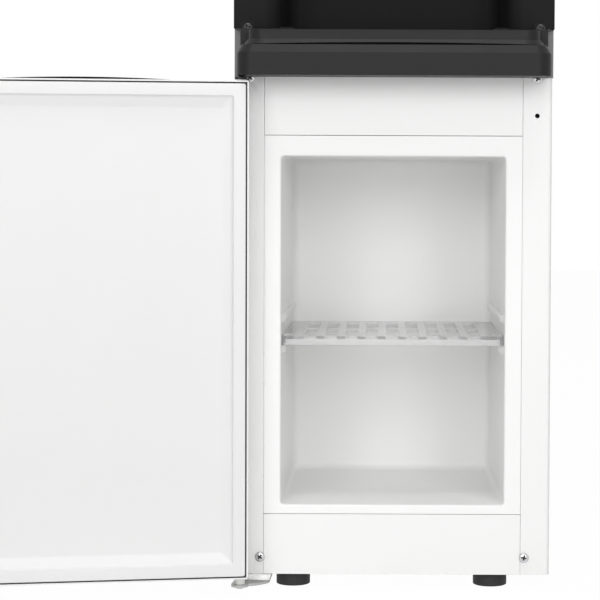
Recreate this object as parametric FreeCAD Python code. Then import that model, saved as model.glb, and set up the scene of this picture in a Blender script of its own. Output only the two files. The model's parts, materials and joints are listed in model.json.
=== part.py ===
import FreeCAD, Part
import math
import os

# Free-standing water cooler: a taps niche and drip tray above a storage cabinet with a
# shelf and a hinged door. Millimetres. Origin on the floor at the centre of the cabinet's
# footprint; the front faces -Y, +X is to the right when facing it, +Z is up.
# The door is modelled shut and then swung to the opening angle at which the object rests.

# ---------------------------------------------------------------- cabinet
BODY_WIDTH = 310.0  # over the two side panels
BODY_DEPTH = 350.0  # front flange face to rear flange face
SHEET = 1.0  # steel sheet of the casing
FLANGE_WIDTH = 28.5  # inward front flange of a side panel
REAR_FLANGE_WIDTH = 16.0
CASING_BEND = 4.0  # outside bend radius of the side panels
SEAM = 0.5  # visible joint between neighbouring front pieces
PLINTH_HEIGHT = 60.0
BASE_RIM = 12.0  # upturned edge of the base pan
DECK_SHEET = 1.2

# ---------------------------------------------------------------- feet
FOOT_HEIGHT = 14.0
FOOT_RADIUS = 16.75
FOOT_INSET = 57.0  # centre of a foot from the casing's side
FOOT_SPACING_Y = 296.0
FOOT_STUD_RADIUS = 4.0
FOOT_STUD_LENGTH = 12.0
FOOT_NUT_ACROSS = 13.0
FOOT_NUT_HEIGHT = 6.0

# ---------------------------------------------------------------- cabinet liner and shelf
RIM_DROP = 51.8  # rim's upper edge below the door's
RIM_SIDE = 16.5  # rim face beside the opening
RIM_TOP = 20.0
RIM_BOTTOM = 9.0
LINER_WALL = 2.5
MACHINE_DEPTH = 135.0  # space behind the cabinet's liner
LINER_DRAFT = 3.0  # how far each wall leans in over the depth
LINER_FRONT_RADIUS = 3.0
LINER_BACK_RADIUS = 6.0
LINER_LIP = 2.0  # bevel round the opening's front edge
LEDGE_TOP = 156.0  # above the opening's lower edge
LEDGE_HEIGHT = 7.5
LEDGE_REACH = 4.0
GUIDE_GAP = 22.5  # from the ledge's top to the guide rib's underside
GUIDE_HEIGHT = 8.0
RIB_SETBACK = 3.0  # ribs start this far behind the rim face
RIB_BACK_GAP = 22.0
SHELF_CLEARANCE = 0.6
SHELF_SETBACK = 9.0
SHELF_BACK_GAP = 8.0
SHELF_THICKNESS = 3.0
SHELF_LIP = 9.0
SHELF_LIP_WALL = 3.0
SHELF_BLOCK_WIDTH = 11.0
SHELF_BLOCK_RISE = 2.0
SHELF_SLOT_COLUMNS = 9
SHELF_SLOT_ROWS = 2
SHELF_SLOT_SIDE = 14.8  # plate beside the outer slots
SHELF_SLOT_WIDTH = 12.5
SHELF_SLOT_MARGIN = 16.0  # plate left in front of, between and behind the slot rows
SHELF_CORNER = 12.0
SHELF_SCOOP_RADIUS = 9.0
SHELF_SCOOP_DEPTH = 1.6

# ---------------------------------------------------------------- door and its hinges
DOOR_SIDE_GAP = 1.0  # door's edges inside the casing's sides
DOOR_HEIGHT = 480.0
DOOR_THICKNESS = 40.0
DOOR_FLOOR_GAP = 3.3  # door's lower edge above the casing's lower edge
DOOR_FACE_GAP = 3.0  # shut door's inner face in front of the flanges
DOOR_SKIN = 1.5
DOOR_JOINT = 1.5  # open joint round the inner panel
DOOR_RIM_SETBACK = 1.0  # outer shell's rim behind the inner face
DOOR_OUTER_EDGE = 6.0  # eased edge round the outer face
DOOR_CORNER = 2.0
DOOR_BORDER = 14.5
DOOR_RECESS_DEPTH = 7.0
DOOR_RECESS_SLOPE = 9.0
DOOR_RECESS_CORNER = 2.0
DOOR_PANEL_RETURN = 12.0  # depth of the inner panel's sides
DOOR_OPEN_ANGLE = 170.7
HINGE_INSET_X = 6.0  # pivot axis from the door's hinge edge
HINGE_INSET_Y = 21.0  # pivot axis from the door's inner face
PIN_RADIUS = 2.5
PIN_CLEARANCE = 0.05
PIN_DEPTH = 12.0  # pin inside the door's bush
PIN_HEAD_RADIUS = 4.2
PIN_HEAD_HEIGHT = 1.8
BUSH_RADIUS = 3.8
BUSH_COLLAR_RADIUS = 4.8
BUSH_END = 2.0  # bush beyond the pin's tip
HINGE_PLATE = 2.5
LOWER_PLATE_DROP = 5.0  # joggle of the lower hinge plate
LOWER_PLATE_END = 8.5  # radius of its pivot end
LOWER_PLATE_WIDTH = 36.0
LOWER_PLATE_BELLY = (2.0, 4.0)  # how far its outer sweep bows to the right and forward
LOWER_PLATE_REACH = 52.0  # how far it runs back under the casing
UPPER_PLATE_END = 6.0
UPPER_PLATE_WIDTH = 7.0
UPPER_PLATE_REACH = 26.0
UPPER_PLATE_INSET = 1.5  # arm's edge from the side panel's inner wall
UPPER_PLATE_GAP = 1.7  # above the door's upper edge
PULL_WIDTH = 180.0
PULL_RISE = 2.4  # above the door's upper edge at its middle
PULL_DROP = 36.0
PULL_PROUD = 1.0
PULL_WALL = 3.0
PULL_SCOOP = 15.0
PULL_CLEARANCE = 0.3
MAGNET_LENGTH = 40.0
MAGNET_WIDTH = 8.0
MAGNET_DEPTH = 4.0

# ---------------------------------------------------------------- drip tray
TRAY_GAP = 1.0  # above the upper hinge plate
TRAY_SIDE_GAP = 4.0  # tray's sides inside the casing's sides
TRAY_FRONT = 52.0  # in front of the flanges
TRAY_BACK_GAP = 3.4  # tray's wide part in front of the flanges
TRAY_WALL_HEIGHT = 21.5
TRAY_BEVEL_HEIGHT = 8.0
TRAY_BEVEL_INSET = 5.0
TRAY_CORNER = 16.0
TRAY_WALL = 2.5
TRAY_TONGUE_GAP = 6.0  # tongue's side from the niche's cheek
TRAY_TONGUE_DEPTH = 64.0  # behind the flanges
TRAY_TONGUE_RISE = 4.0
HOLDER_WALL = 2.0
HOLDER_CLEARANCE = 0.5
GRILLE_WALL = 2.2
GRILLE_FLANGE_HEIGHT = 5.4
GRILLE_FLANGE_OUT = 1.0  # flange's upper edge beyond the skirt
GRILLE_FLANGE_SLOPE = 4.0  # how far the flange leans in
GRILLE_FLANGE_GAP = 0.5  # from the flange to the tray's bevel
GRILLE_RISE = 9.1  # skirt above the flange
GRILLE_CORNER = 26.0
GRILLE_BACK_GAP = 15.0  # skirt's wide part in front of the flanges
GRILLE_TONGUE_INSET = 3.0
GRILLE_CREST_INSET = 2.0  # splash guard's ends inside the tray's sides
GRILLE_CREST_RISE = 2.0  # above the slotted top
GRILLE_LENS = 2.2  # finger relief under the flange
GRILLE_SLOTS = 15
GRILLE_SLOT_SIDE = 5.0  # plate beside the outer slots
GRILLE_SLOT_WIDTH = 6.0
GRILLE_SLOT_MARGIN = 9.0

# ---------------------------------------------------------------- fascia, niche and head
FASCIA_GAP = 2.5  # fascia's lower edge above the drip grille
FASCIA_OVERLAP = 1.0  # beyond the side panels
FASCIA_PROUD = 11.0  # in front of the flanges
FASCIA_WALL = 2.5
FASCIA_EDGE_RADIUS = 3.0
FASCIA_TAB_DROP = 5.0
FASCIA_TAB_WIDTH = 14.0
NICHE_HEIGHT = 250.0
NICHE_CHEEK = 51.0  # from the casing's side to the niche's cheek
NICHE_DEPTH = 72.0  # behind the flanges
NICHE_SPLAY = 8.0  # how much further out each cheek is at the mouth
NICHE_SHOULDER = 20.0  # radius from the fascia face into the niche's cheek
FASCIA_SLANT = 2.2  # how far the face falls back towards the niche
FASCIA_BOSS = 1.0  # screw boss behind the foremost face
FASCIA_BOSS_RISE = 7.0
NICHE_BACK_RADIUS = 14.0
HEAD_HEIGHT = 126.0
HEAD_BULGE = 16.0
HEAD_LEAN = 12.0  # how much further forward its lower edge is
HEAD_FLOOR = 3.0
LENS_RADIUS = 3.5
LENS_PITCH = 28.0
LENS_HEIGHT_FROM_TOP = 40.0
LENS_PROUD = 0.8
LENS_LENGTH = 8.0
COVER_HEIGHT = 20.0
COVER_RIM = 8.0  # locating rim inside the side panels
COVER_WALL = 3.0
COVER_TOP_RADIUS = 8.0
SEAT_HOLE_RADIUS = 78.0
SEAT_CLEARANCE = 0.4
SEAT_THROAT_RADIUS = 30.0
SEAT_DEPTH = 46.0
SEAT_FLANGE = 9.0
SEAT_RISE = 12.0
SEAT_WALL = 3.0
SEAT_CONE = 25.3  # depth of the seat's cone below the cover
SEAT_CENTRE_BACK = 20.0  # behind the middle of the casing
PROBE_RADIUS = 11.0
PROBE_BORE = 8.0
PROBE_RISE = 26.0  # above the top cover
PROBE_FLANGE = 4.0
PROBE_WINDOW = (7.2, 10.8)  # width and height of the probe's inlet windows
PROBE_WINDOW_DROP = 15.3

# ---------------------------------------------------------------- taps
TAP_SPACING = 92.0
TAP_BACK = 13.0  # spout axis behind the flange plane
TAP_RADIUS = 12.0
TAP_LENGTH = 58.0
TAP_SHOULDER = 5.0
SPOUT_RADIUS = 7.5
SPOUT_BORE = 5.0
SPOUT_LENGTH = 16.0
TAP_EAR = 3.0
TAP_EAR_GAP = 12.0
LEVER_PIN_RADIUS = 2.0
LEVER_DROP = 34.0  # pivot below the niche's roof
LEVER_BACK = 21.0  # pivot behind the spout axis
LEVER_HUB = 4.5
LEVER_LENGTH = 74.0
LEVER_WIDTH = 30.0
LEVER_THICKNESS = 4.0
LEVER_SIDE_GAP = 0.4
LEVER_NECK = 31.0  # from the pivot down to where the paddle widens
LEVER_SHOULDER = 43.0  # from the pivot down to its full width
LEVER_NECK_RADIUS = 6.0
LEVER_TIP_RADIUS = 9.0
LEVER_KINK = 3.0  # how far the tip leans forward
LEVER_KINK_RADIUS = 14.0
LOCK_WIDTH = 9.0
LOCK_HEIGHT = 16.0
LOCK_PROUD = 4.0
LOCK_TRAVEL = 5.0
LOCK_SLOT_GAP = 0.4
LOCK_PAD = 2.0  # pad in front of the tap's barrel
LOCK_PAD_SIDE = 1.5  # pad beside the button
LOCK_PAD_END = 3.0  # pad beyond the button's travel
LOCK_CORNER = 1.5
LOCK_GROOVE = (1.2, 0.8)  # width and depth of the button's grip grooves

# ---------------------------------------------------------------- water tanks and cooling
TANK_RADIUS = 60.0
TANK_HEIGHT = 180.0
TANK_WALL = 1.2
TANK_FLOOR_DROP = 140.0  # upper deck below the niche's roof
INSULATION_WALL = 22.0
HOT_RADIUS = 44.0
HOT_HEIGHT = 130.0
HOT_CENTRE_Y = 70.0
HOT_LEG = 12.0
HOT_DOME = 8.8  # bevel round the hot tank's ends
DECK_GAP = 22.0  # lower deck above the liner
HOSE_RADIUS = 5.0
HOSE_BORE = 3.2
HOSE_BEND = 14.0
HOSE_RISE = 28.0  # above a tap's inlet
HOSE_SPARE = 4.0  # hose column behind the niche's wall
STUB_LENGTH = 12.0
COMPRESSOR_RADIUS = 52.0
COMPRESSOR_HEIGHT = 118.0
COMPRESSOR_INSET = 137.0  # from the casing's right side
COMPRESSOR_BACK = 69.0  # from the casing's rear
COMPRESSOR_SEAM = 3.0
COMPRESSOR_SEAM_HEIGHT = 65.0
COMPRESSOR_DOME = 18.0  # bevel round its ends
COMPRESSOR_FOOT_ROW = 83.0  # between the front and rear mounts
TERMINAL_BOX = (16.0, 36.0, 35.4)  # reach, width and height of the electrical box
TERMINAL_BOX_RISE = 23.6
COMPRESSOR_FOOT_SPACING = 104.0
COMPRESSOR_FOOT_THICKNESS = 2.5
MOUNT_RADIUS = 9.0
MOUNT_HEIGHT = 14.0
BACK_COVER_HEIGHT = 176.0
LOUVRE_COUNT = 5
LOUVRE_PITCH = 16.0
LOUVRE_LENGTH = 96.0
LOUVRE_OPENING = 5.0
LOUVRE_SPACING = 116.0
LOUVRE_LIFT = 8.0  # louvres' middle above the cover's middle
BACK_SHEET = 1.2
DISCHARGE_TUBE = 3.0
CONDENSER_WIDTH = 232.0
CONDENSER_RUNS = 7
CONDENSER_PITCH = 80.0
CONDENSER_BEND = 28.0
CONDENSER_TUBE = 2.4
CONDENSER_STANDOFF = 14.0
CONDENSER_TAIL_BEND = 10.0
CONDENSER_TAIL = 33.0  # tube's ends inside the back panel
CONDENSER_FOOT_GAP = 36.0  # lowest run above the compressor cover
CONDENSER_WIRES = 15
CONDENSER_WIRE = 0.9
CONDENSER_WIRE_END = 12.0  # wires beyond the outer runs
CONDENSER_WIRE_SIDE = 34.0  # outer wires inside the bends
BRACKET_WIDTH = 8.0

# ---------------------------------------------------------------- rear fittings
SWITCH_PLATE_WIDTH = 66.0
SWITCH_PLATE_HEIGHT = 34.0
SWITCH_PLATE_DEPTH = 3.0
SWITCH_PLATE_CORNER = 3.0
SWITCH_BEZEL = (3.0, 2.0)  # plate beside and above the housing
SWITCH_HOUSING = 16.0  # depth of the housing inside the panel
SWITCH_INSET = 63.0  # switches' middle from the casing's side
SWITCH_DROP = 42.0  # below the top of the casing
ROCKER_WIDTH = 15.0
ROCKER_HEIGHT = 24.0
ROCKER_PITCH = 28.0
ROCKER_GAP = 0.5
ROCKER_TILT = 9.0
ROCKER_DEPTH = 9.0
ROCKER_PIN_RADIUS = 1.0
DRAIN_INSET = 55.0  # from the casing's side
DRAIN_HEIGHT = 22.0
DRAIN_RADIUS = 8.0
DRAIN_COLLAR = 2.0
DRAIN_LENGTH = 20.0
CAP_RADIUS = 12.0
CAP_HEIGHT = 15.0
CAP_CLEARANCE = 0.4
CAP_GRIPS = 12
GLAND_INSET = 43.0  # from the casing's side
GLAND_HEIGHT = 22.0
GLAND_RADIUS = 9.0
GLAND_BORE = 4.0
GLAND_LIP = 2.0
GLAND_LENGTH = 14.0

# ---------------------------------------------------------------- screws
SCREW_HEAD_RADIUS = 4.7
SCREW_HEAD_HEIGHT = 2.4
SCREW_HEAD_CROWN = 1.2  # bevel of a pan head
SCREW_SHANK_RADIUS = 1.9
SCREW_SHANK_LENGTH = 9.0
SCREW_CROSS = 1.0
HOLE_CLEARANCE = 0.2
LOWER_SCREW_INSET = 25.0  # screws from the casing's side
LOWER_SCREW_HEIGHT = 17.0
UPPER_SCREW_INSET = 14.7
FASCIA_SCREW_INSET = 12.7
BUMPER_HOLE_INSET = 14.6
BUMPER_HOLE_DROP = 31.7  # below the door's upper edge
BUMPER_HOLE_RADIUS = 2.2
COVER_SCREW_SHARES = (0.25, 0.85)  # of the compressor cover's height
HINGE_SCREW_SHARES = (0.35, 0.8)  # of the lower hinge plate's reach
HEX_HEAD_RADIUS = 4.0

# ---------------------------------------------------------------- derived places
V = FreeCAD.Vector
UP = V(0, 0, 1)
HALF_W = BODY_WIDTH / 2
DOOR_WIDTH = BODY_WIDTH - 2 * DOOR_SIDE_GAP
TRAY_WIDTH = BODY_WIDTH - 2 * TRAY_SIDE_GAP
NICHE_HALF_WIDTH = HALF_W - NICHE_CHEEK
FOOT_X = HALF_W - FOOT_INSET
LOWER_SCREW_X = HALF_W - LOWER_SCREW_INSET
UPPER_SCREW_X = HALF_W - UPPER_SCREW_INSET
FASCIA_SCREW_X = HALF_W - FASCIA_SCREW_INSET
BUMPER_HOLE_X = HALF_W - BUMPER_HOLE_INSET
SWITCH_X = HALF_W - SWITCH_INSET
DRAIN_X = DRAIN_INSET - HALF_W
GLAND_X = HALF_W - GLAND_INSET
COMPRESSOR_X = HALF_W - COMPRESSOR_INSET
FRONT_Y = -BODY_DEPTH / 2
REAR_Y = BODY_DEPTH / 2
LINER_DEPTH = BODY_DEPTH - MACHINE_DEPTH
SHELF_DEPTH = LINER_DEPTH - SHELF_SETBACK - SHELF_BACK_GAP
COMPRESSOR_Y = REAR_Y - COMPRESSOR_BACK
INNER_HALF_W = HALF_W - SHEET
FACE_HALF_W = HALF_W - FLANGE_WIDTH  # pieces between the two front flanges
Z_BASE = FOOT_HEIGHT
Z_FLOOR = Z_BASE + DECK_SHEET
Z_RIM = Z_BASE + PLINTH_HEIGHT
Z_DOOR = Z_BASE + DOOR_FLOOR_GAP
Z_DOOR_TOP = Z_DOOR + DOOR_HEIGHT
Z_RIM_TOP = Z_DOOR_TOP - RIM_DROP
OPENING_HALF_W = FACE_HALF_W - SEAM / 2 - RIM_SIDE
Z_OPENING = Z_RIM + RIM_BOTTOM
Z_OPENING_TOP = Z_RIM_TOP - RIM_TOP
Z_LEDGE = Z_OPENING + LEDGE_TOP
DOOR_INNER_Y = FRONT_Y - DOOR_FACE_GAP
DOOR_OUTER_Y = DOOR_INNER_Y - DOOR_THICKNESS
HINGE_X = HINGE_INSET_X - DOOR_WIDTH / 2
HINGE_Y = DOOR_INNER_Y - HINGE_INSET_Y
UPPER_PLATE_X = UPPER_PLATE_INSET - INNER_HALF_W
Z_UPPER_PLATE = Z_DOOR_TOP + UPPER_PLATE_GAP
Z_LOWER_PIVOT = Z_BASE - HINGE_PLATE - LOWER_PLATE_DROP
Z_TRAY = Z_UPPER_PLATE + HINGE_PLATE + TRAY_GAP
Z_TRAY_BEVEL = Z_TRAY + TRAY_WALL_HEIGHT
Z_TRAY_RIM = Z_TRAY_BEVEL + TRAY_BEVEL_HEIGHT
Z_GRILLE_FLANGE = Z_TRAY_RIM + GRILLE_FLANGE_HEIGHT
Z_GRILLE = Z_GRILLE_FLANGE + GRILLE_RISE
Z_FASCIA = Z_GRILLE + FASCIA_GAP
Z_NICHE = Z_FASCIA + NICHE_HEIGHT
Z_TOP = Z_NICHE + HEAD_HEIGHT
Z_COVER = Z_TOP + COVER_HEIGHT
TRAY_FRONT_Y = FRONT_Y - TRAY_FRONT
TRAY_BACK_Y = FRONT_Y - TRAY_BACK_GAP
TONGUE_Y = FRONT_Y + TRAY_TONGUE_DEPTH
TONGUE_HALF_W = NICHE_HALF_WIDTH - TRAY_TONGUE_GAP
HOLDER_HALF_W = TONGUE_HALF_W + HOLDER_CLEARANCE + HOLDER_WALL
HOLDER_Y = TONGUE_Y + HOLDER_CLEARANCE + HOLDER_WALL
FASCIA_Y = FRONT_Y - FASCIA_PROUD
FASCIA_HALF_W = HALF_W + FASCIA_OVERLAP
NICHE_Y = FRONT_Y + NICHE_DEPTH
Z_LOWER_DECK = Z_RIM_TOP + DECK_GAP
Z_UPPER_DECK = Z_NICHE - TANK_FLOOR_DROP
Z_BACK_PANEL = Z_BASE + BACK_COVER_HEIGHT + SEAM
SEAT_Y = SEAT_CENTRE_BACK
TAP_Y = FRONT_Y + TAP_BACK
PIVOT_Y = TAP_Y + LEVER_BACK
Z_PIVOT = Z_NICHE - LEVER_DROP
EPS = 0.01
SWEEP_SIDES = 6  # of hoses and refrigerant tubes
FINE_SIDES = 12  # of small round parts
TANK_SIDES = 16  # of tanks, taps and the compressor
SEAT_SIDES = 24
BEND_STEPS = 3  # chords in a bend of a hose or pipe
CUT = 1.0  # how far a cutting tool runs past the face it opens


# ---------------------------------------------------------------- shape helpers
def slab(x0, x1, y0, y1, z0, z1):
    """Box between two opposite corners."""
    return Part.makeBox(x1 - x0, y1 - y0, z1 - z0, V(x0, y0, z0))


def rod(radius, length, base, direction=UP):
    """Cylinder from a base point along a direction."""
    return Part.makeCylinder(radius, length, base, direction)


def ring(radius, z, sides=FINE_SIDES):
    """Regular many-sided wire about the Z axis."""
    angles = [2 * math.pi * i / sides for i in range(sides)]
    corners = [V(radius * math.cos(a), radius * math.sin(a), z) for a in angles]
    return Part.makePolygon(corners + corners[:1])


def peg(radius, length, base, direction=UP, sides=8):
    """Many-sided bar round a circle, for small round parts and holes."""
    wire = ring(radius / math.cos(math.pi / sides), 0, sides)
    bar = Part.Face(wire).extrude(UP * length)
    bar.Placement = FreeCAD.Placement(base, FreeCAD.Rotation(UP, direction))
    return bar


def outline(x0, x1, y0, y1, radii):
    """Closed wire of a rectangle whose corners have the radii, from (x0, y0) anticlockwise."""
    corners = [V(x0, y0, 0), V(x1, y0, 0), V(x1, y1, 0), V(x0, y1, 0)]
    return rounded_wire(corners, radii)


def rounded_wire(corners, radii):
    """Closed wire through corners, each rounded by its own radius (0 leaves it sharp)."""
    ends = []
    count = len(corners)
    for i, (corner, radius) in enumerate(zip(corners, radii)):
        before = (corners[i - 1] - corner).normalize()
        after = (corners[(i + 1) % count] - corner).normalize()
        half = before.getAngle(after) / 2
        reach = radius / math.tan(half)
        middle = corner + (before + after).normalize() * (radius / math.sin(half) - radius)
        ends.append((corner + before * reach, middle, corner + after * reach, radius))
    edges = []
    for i, (start, middle, end, radius) in enumerate(ends):
        if radius > 0:
            edges.append(Part.Arc(start, middle, end).toShape())
        following = ends[(i + 1) % count][0]
        if (following - end).Length > EPS:
            edges.append(Part.LineSegment(end, following).toShape())
    return Part.Wire(edges)


def plan_slab(x0, x1, y0, y1, z0, z1, radii):
    """Vertical prism on a rounded rectangle in plan."""
    wire = outline(x0, x1, y0, y1, radii)
    wire.translate(V(0, 0, z0))
    return Part.Face(wire).extrude(V(0, 0, z1 - z0))


def front_wire(x0, x1, z0, z1, radius, y):
    """Rounded rectangle standing in the XZ plane at y."""
    wire = outline(x0, x1, z0, z1, [radius] * 4)
    wire.rotate(V(0, 0, 0), V(1, 0, 0), 90)
    wire.translate(V(0, y, 0))
    return wire


def front_slab(x0, x1, z0, z1, y0, y1, radius):
    """Prism along Y on a rounded rectangle seen from the front."""
    return Part.Face(front_wire(x0, x1, z0, z1, radius, y0)).extrude(V(0, y1 - y0, 0))


def tapered(wires):
    """Straight-sided solid through a row of wires."""
    return Part.makeLoft(wires, True, True)


def faceted(points, centre, sides, direction=UP):
    """Many-sided solid of revolution of (radius, height) points, for round mouldings."""
    turns = [2 * math.pi * i / sides for i in range(sides + 1)]
    faces = []
    for (r0, h0), (r1, h1) in zip(points, points[1:] + points[:1]):
        for a, b in zip(turns, turns[1:]):
            corners = [
                V(r0 * math.cos(a), r0 * math.sin(a), h0),
                V(r0 * math.cos(b), r0 * math.sin(b), h0),
                V(r1 * math.cos(b), r1 * math.sin(b), h1),
                V(r1 * math.cos(a), r1 * math.sin(a), h1),
            ]
            loop = [p for p, q in zip(corners, corners[1:] + corners[:1]) if (p - q).Length > EPS]
            if len(loop) > 2:
                faces.append(Part.Face(Part.makePolygon(loop + loop[:1])))
    solid = Part.makeSolid(Part.makeShell(faces)).removeSplitter()
    solid.Placement = FreeCAD.Placement(centre, FreeCAD.Rotation(UP, direction))
    return solid


def eased_line(points, radius, end_radius=None):
    """Points of straight runs whose corners are eased by short chords of an arc.

    The first and last bends may be tighter.
    """
    line = points[:1]
    radii = [radius] * (len(points) - 2)
    if end_radius:
        radii[0] = radii[-1] = end_radius
    for before, corner, after, radius in zip(points, points[1:], points[2:], radii):
        inward = (before - corner).normalize()
        outward = (after - corner).normalize()
        half = inward.getAngle(outward) / 2
        centre = corner + (inward + outward).normalize() * (radius / math.sin(half))
        start = corner + inward * (radius / math.tan(half)) - centre
        end = corner + outward * (radius / math.tan(half)) - centre
        turn = math.pi - 2 * half
        for step in range(BEND_STEPS + 1):
            angle = turn * step / BEND_STEPS
            line.append(centre + (start * math.sin(turn - angle) + end * math.sin(angle)) / math.sin(turn))
    return line + points[-1:]


def piped(points, radius, sides=SWEEP_SIDES):
    """Many-sided bar along a line of straight runs, mitred at every corner."""
    runs = [(b - a).normalize() for a, b in zip(points, points[1:])]
    section = FreeCAD.Rotation(UP, runs[0])
    turns = [2 * math.pi * i / sides for i in range(sides)]
    spokes = [section.multVec(V(radius * math.cos(a), radius * math.sin(a), 0)) for a in turns]
    rings = [[points[0] + spoke for spoke in spokes]]
    for point, before, after in zip(points[1:], runs, runs[1:] + runs[-1:]):
        plane = (before + after).normalize()
        slope = before.dot(plane)
        rings.append([c + before * ((point - c).dot(plane) / slope) for c in rings[-1]])
    loops = [rings[0], rings[-1]]
    for low, high in zip(rings, rings[1:]):
        for i in range(sides):
            loops.append([low[i - 1], low[i], high[i], high[i - 1]])
    faces = [Part.Face(Part.makePolygon(loop + loop[:1])) for loop in loops]
    return Part.makeSolid(Part.makeShell(faces))


def mirrored(shape):
    """The same piece on the other side of the middle plane."""
    return shape.mirror(V(0, 0, 0), V(1, 0, 0))


def both_sides(shape):
    """A piece and its mirror image, as two separate solids of one node."""
    return Part.makeCompound([shape, mirrored(shape)])


def pan_screw(point, direction, length=SCREW_SHANK_LENGTH):
    """Cross-head screw whose head stands on point and faces direction."""
    height = SCREW_HEAD_HEIGHT
    crown = SCREW_HEAD_RADIUS - SCREW_HEAD_CROWN
    rims = [
        ring(SCREW_HEAD_RADIUS, 0),
        ring(SCREW_HEAD_RADIUS, height - SCREW_HEAD_CROWN),
        ring(crown, height),
    ]
    head = tapered(rims)
    arm = SCREW_HEAD_RADIUS / 2
    half = SCREW_CROSS / 2
    floor = height / 2
    cross = slab(-arm, arm, -half, half, floor, height + CUT)
    cross = cross.fuse(slab(-half, half, -arm, arm, floor, height + CUT))
    screw = head.cut(cross).fuse(peg(SCREW_SHANK_RADIUS, length, V(0, 0, -length)))
    screw.Placement = FreeCAD.Placement(point, FreeCAD.Rotation(UP, direction))
    return screw


def hex_screw(point, direction):
    """Hexagon-head sheet screw whose head stands on point and faces direction."""
    head = peg(HEX_HEAD_RADIUS, SCREW_HEAD_HEIGHT, V(0, 0, 0), sides=6)
    shank = peg(SCREW_SHANK_RADIUS, SCREW_SHANK_LENGTH, V(0, 0, -SCREW_SHANK_LENGTH))
    screw = head.fuse(shank)
    screw.Placement = FreeCAD.Placement(point, FreeCAD.Rotation(UP, direction))
    return screw


def drilled(shape, points, radius, direction):
    """Small holes through a sheet at each point."""
    reach = 4 * SCREW_SHANK_LENGTH
    holes = [peg(radius, reach, p - direction * (reach / 2), direction) for p in points]
    return shape.cut(holes)


FORWARD = V(0, -1, 0)
BACKWARD = V(0, 1, 0)
SCREW_HOLE = SCREW_SHANK_RADIUS + HOLE_CLEARANCE
LOWER_SCREW = V(LOWER_SCREW_X, FRONT_Y, Z_BASE + LOWER_SCREW_HEIGHT)
UPPER_SCREW = V(UPPER_SCREW_X, FRONT_Y, Z_TRAY - SEAM)
BUMPER_HOLE = V(BUMPER_HOLE_X, FRONT_Y, Z_DOOR_TOP - BUMPER_HOLE_DROP)
REAR_SCREW_X = HALF_W - REAR_FLANGE_WIDTH / 2
REAR_SCREW_ROWS = [
    Z_BASE + BACK_COVER_HEIGHT * COVER_SCREW_SHARES[0],
    Z_BASE + BACK_COVER_HEIGHT * COVER_SCREW_SHARES[1],
    Z_BACK_PANEL + SCREW_SHANK_LENGTH,
    (Z_BACK_PANEL + Z_TOP) / 2,
    Z_TOP - COVER_RIM - SCREW_SHANK_LENGTH,
]


# ---------------------------------------------------------------- casing
def side_panel():
    """Right side panel: one sheet folded in at the front and at the rear."""
    z0, z1 = Z_BASE, Z_TOP
    bends = [0, CASING_BEND, CASING_BEND, 0]
    inner_bends = [0, CASING_BEND - SHEET, CASING_BEND - SHEET, 0]
    panel = plan_slab(FACE_HALF_W, HALF_W, FRONT_Y, REAR_Y, z0, z1, bends)
    inside = plan_slab(
        FACE_HALF_W - CUT, INNER_HALF_W, FRONT_Y + SHEET, REAR_Y - SHEET, z0, z1, inner_bends
    )
    rear_gap = slab(
        FACE_HALF_W - CUT, HALF_W - REAR_FLANGE_WIDTH, REAR_Y - SHEET, REAR_Y, z0, z1
    )
    niche_gap = slab(
        FACE_HALF_W - CUT,
        HALF_W - REAR_FLANGE_WIDTH,
        FRONT_Y,
        FRONT_Y + SHEET,
        Z_NICHE,
        z1,
    )
    panel = panel.cut([inside, rear_gap, niche_gap])
    fascia_screw = V(FASCIA_SCREW_X, FRONT_Y, Z_FASCIA + SEAM)
    panel = drilled(panel, [LOWER_SCREW, UPPER_SCREW, fascia_screw], SCREW_HOLE, BACKWARD)
    panel = drilled(panel, [BUMPER_HOLE], BUMPER_HOLE_RADIUS, BACKWARD)
    rear = [V(REAR_SCREW_X, REAR_Y, z) for z in REAR_SCREW_ROWS]
    return drilled(panel, rear, SCREW_HOLE, BACKWARD)


def left_side_panel():
    """Left side panel, with the slot that the upper hinge plate passes through."""
    slot = slab(
        UPPER_PLATE_X - HOLE_CLEARANCE,
        UPPER_PLATE_X + UPPER_PLATE_WIDTH + HOLE_CLEARANCE,
        FRONT_Y - CUT,
        FRONT_Y + SHEET + CUT,
        Z_UPPER_PLATE - HOLE_CLEARANCE,
        Z_UPPER_PLATE + HINGE_PLATE + HOLE_CLEARANCE,
    )
    return mirrored(side_panel()).cut(slot)


def foot_places():
    """Centres of the four feet on the floor."""
    x, y = FOOT_X, FOOT_SPACING_Y / 2
    return [V(i * x, j * y, 0) for i in (-1, 1) for j in (-1, 1)]


def base_plate():
    """Pressed base pan between the side panels, holed for the feet and the compressor."""
    y0, y1 = FRONT_Y + SHEET, REAR_Y - SHEET
    bends = [CASING_BEND] * 4
    pan = plan_slab(-INNER_HALF_W, INNER_HALF_W, y0, y1, Z_BASE, Z_BASE + BASE_RIM, bends)
    well = plan_slab(
        -INNER_HALF_W + DECK_SHEET,
        INNER_HALF_W - DECK_SHEET,
        y0 + DECK_SHEET,
        y1 - DECK_SHEET,
        Z_FLOOR,
        Z_BASE + BASE_RIM,
        [CASING_BEND - DECK_SHEET] * 4,
    )
    pan = pan.cut(well)
    feet = [place + UP * Z_BASE for place in foot_places()]
    pan = drilled(pan, feet, FOOT_STUD_RADIUS + HOLE_CLEARANCE, UP)
    hinge = [V(x, y, Z_BASE) for x, y in hinge_screw_places()]
    return drilled(pan, hinge, SCREW_HOLE, UP)


def foot(place):
    """Round levelling foot with its threaded stud."""
    stud = peg(FOOT_STUD_RADIUS, FOOT_HEIGHT + FOOT_STUD_LENGTH, place)
    return rod(FOOT_RADIUS, FOOT_HEIGHT, place).fuse(stud)


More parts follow.
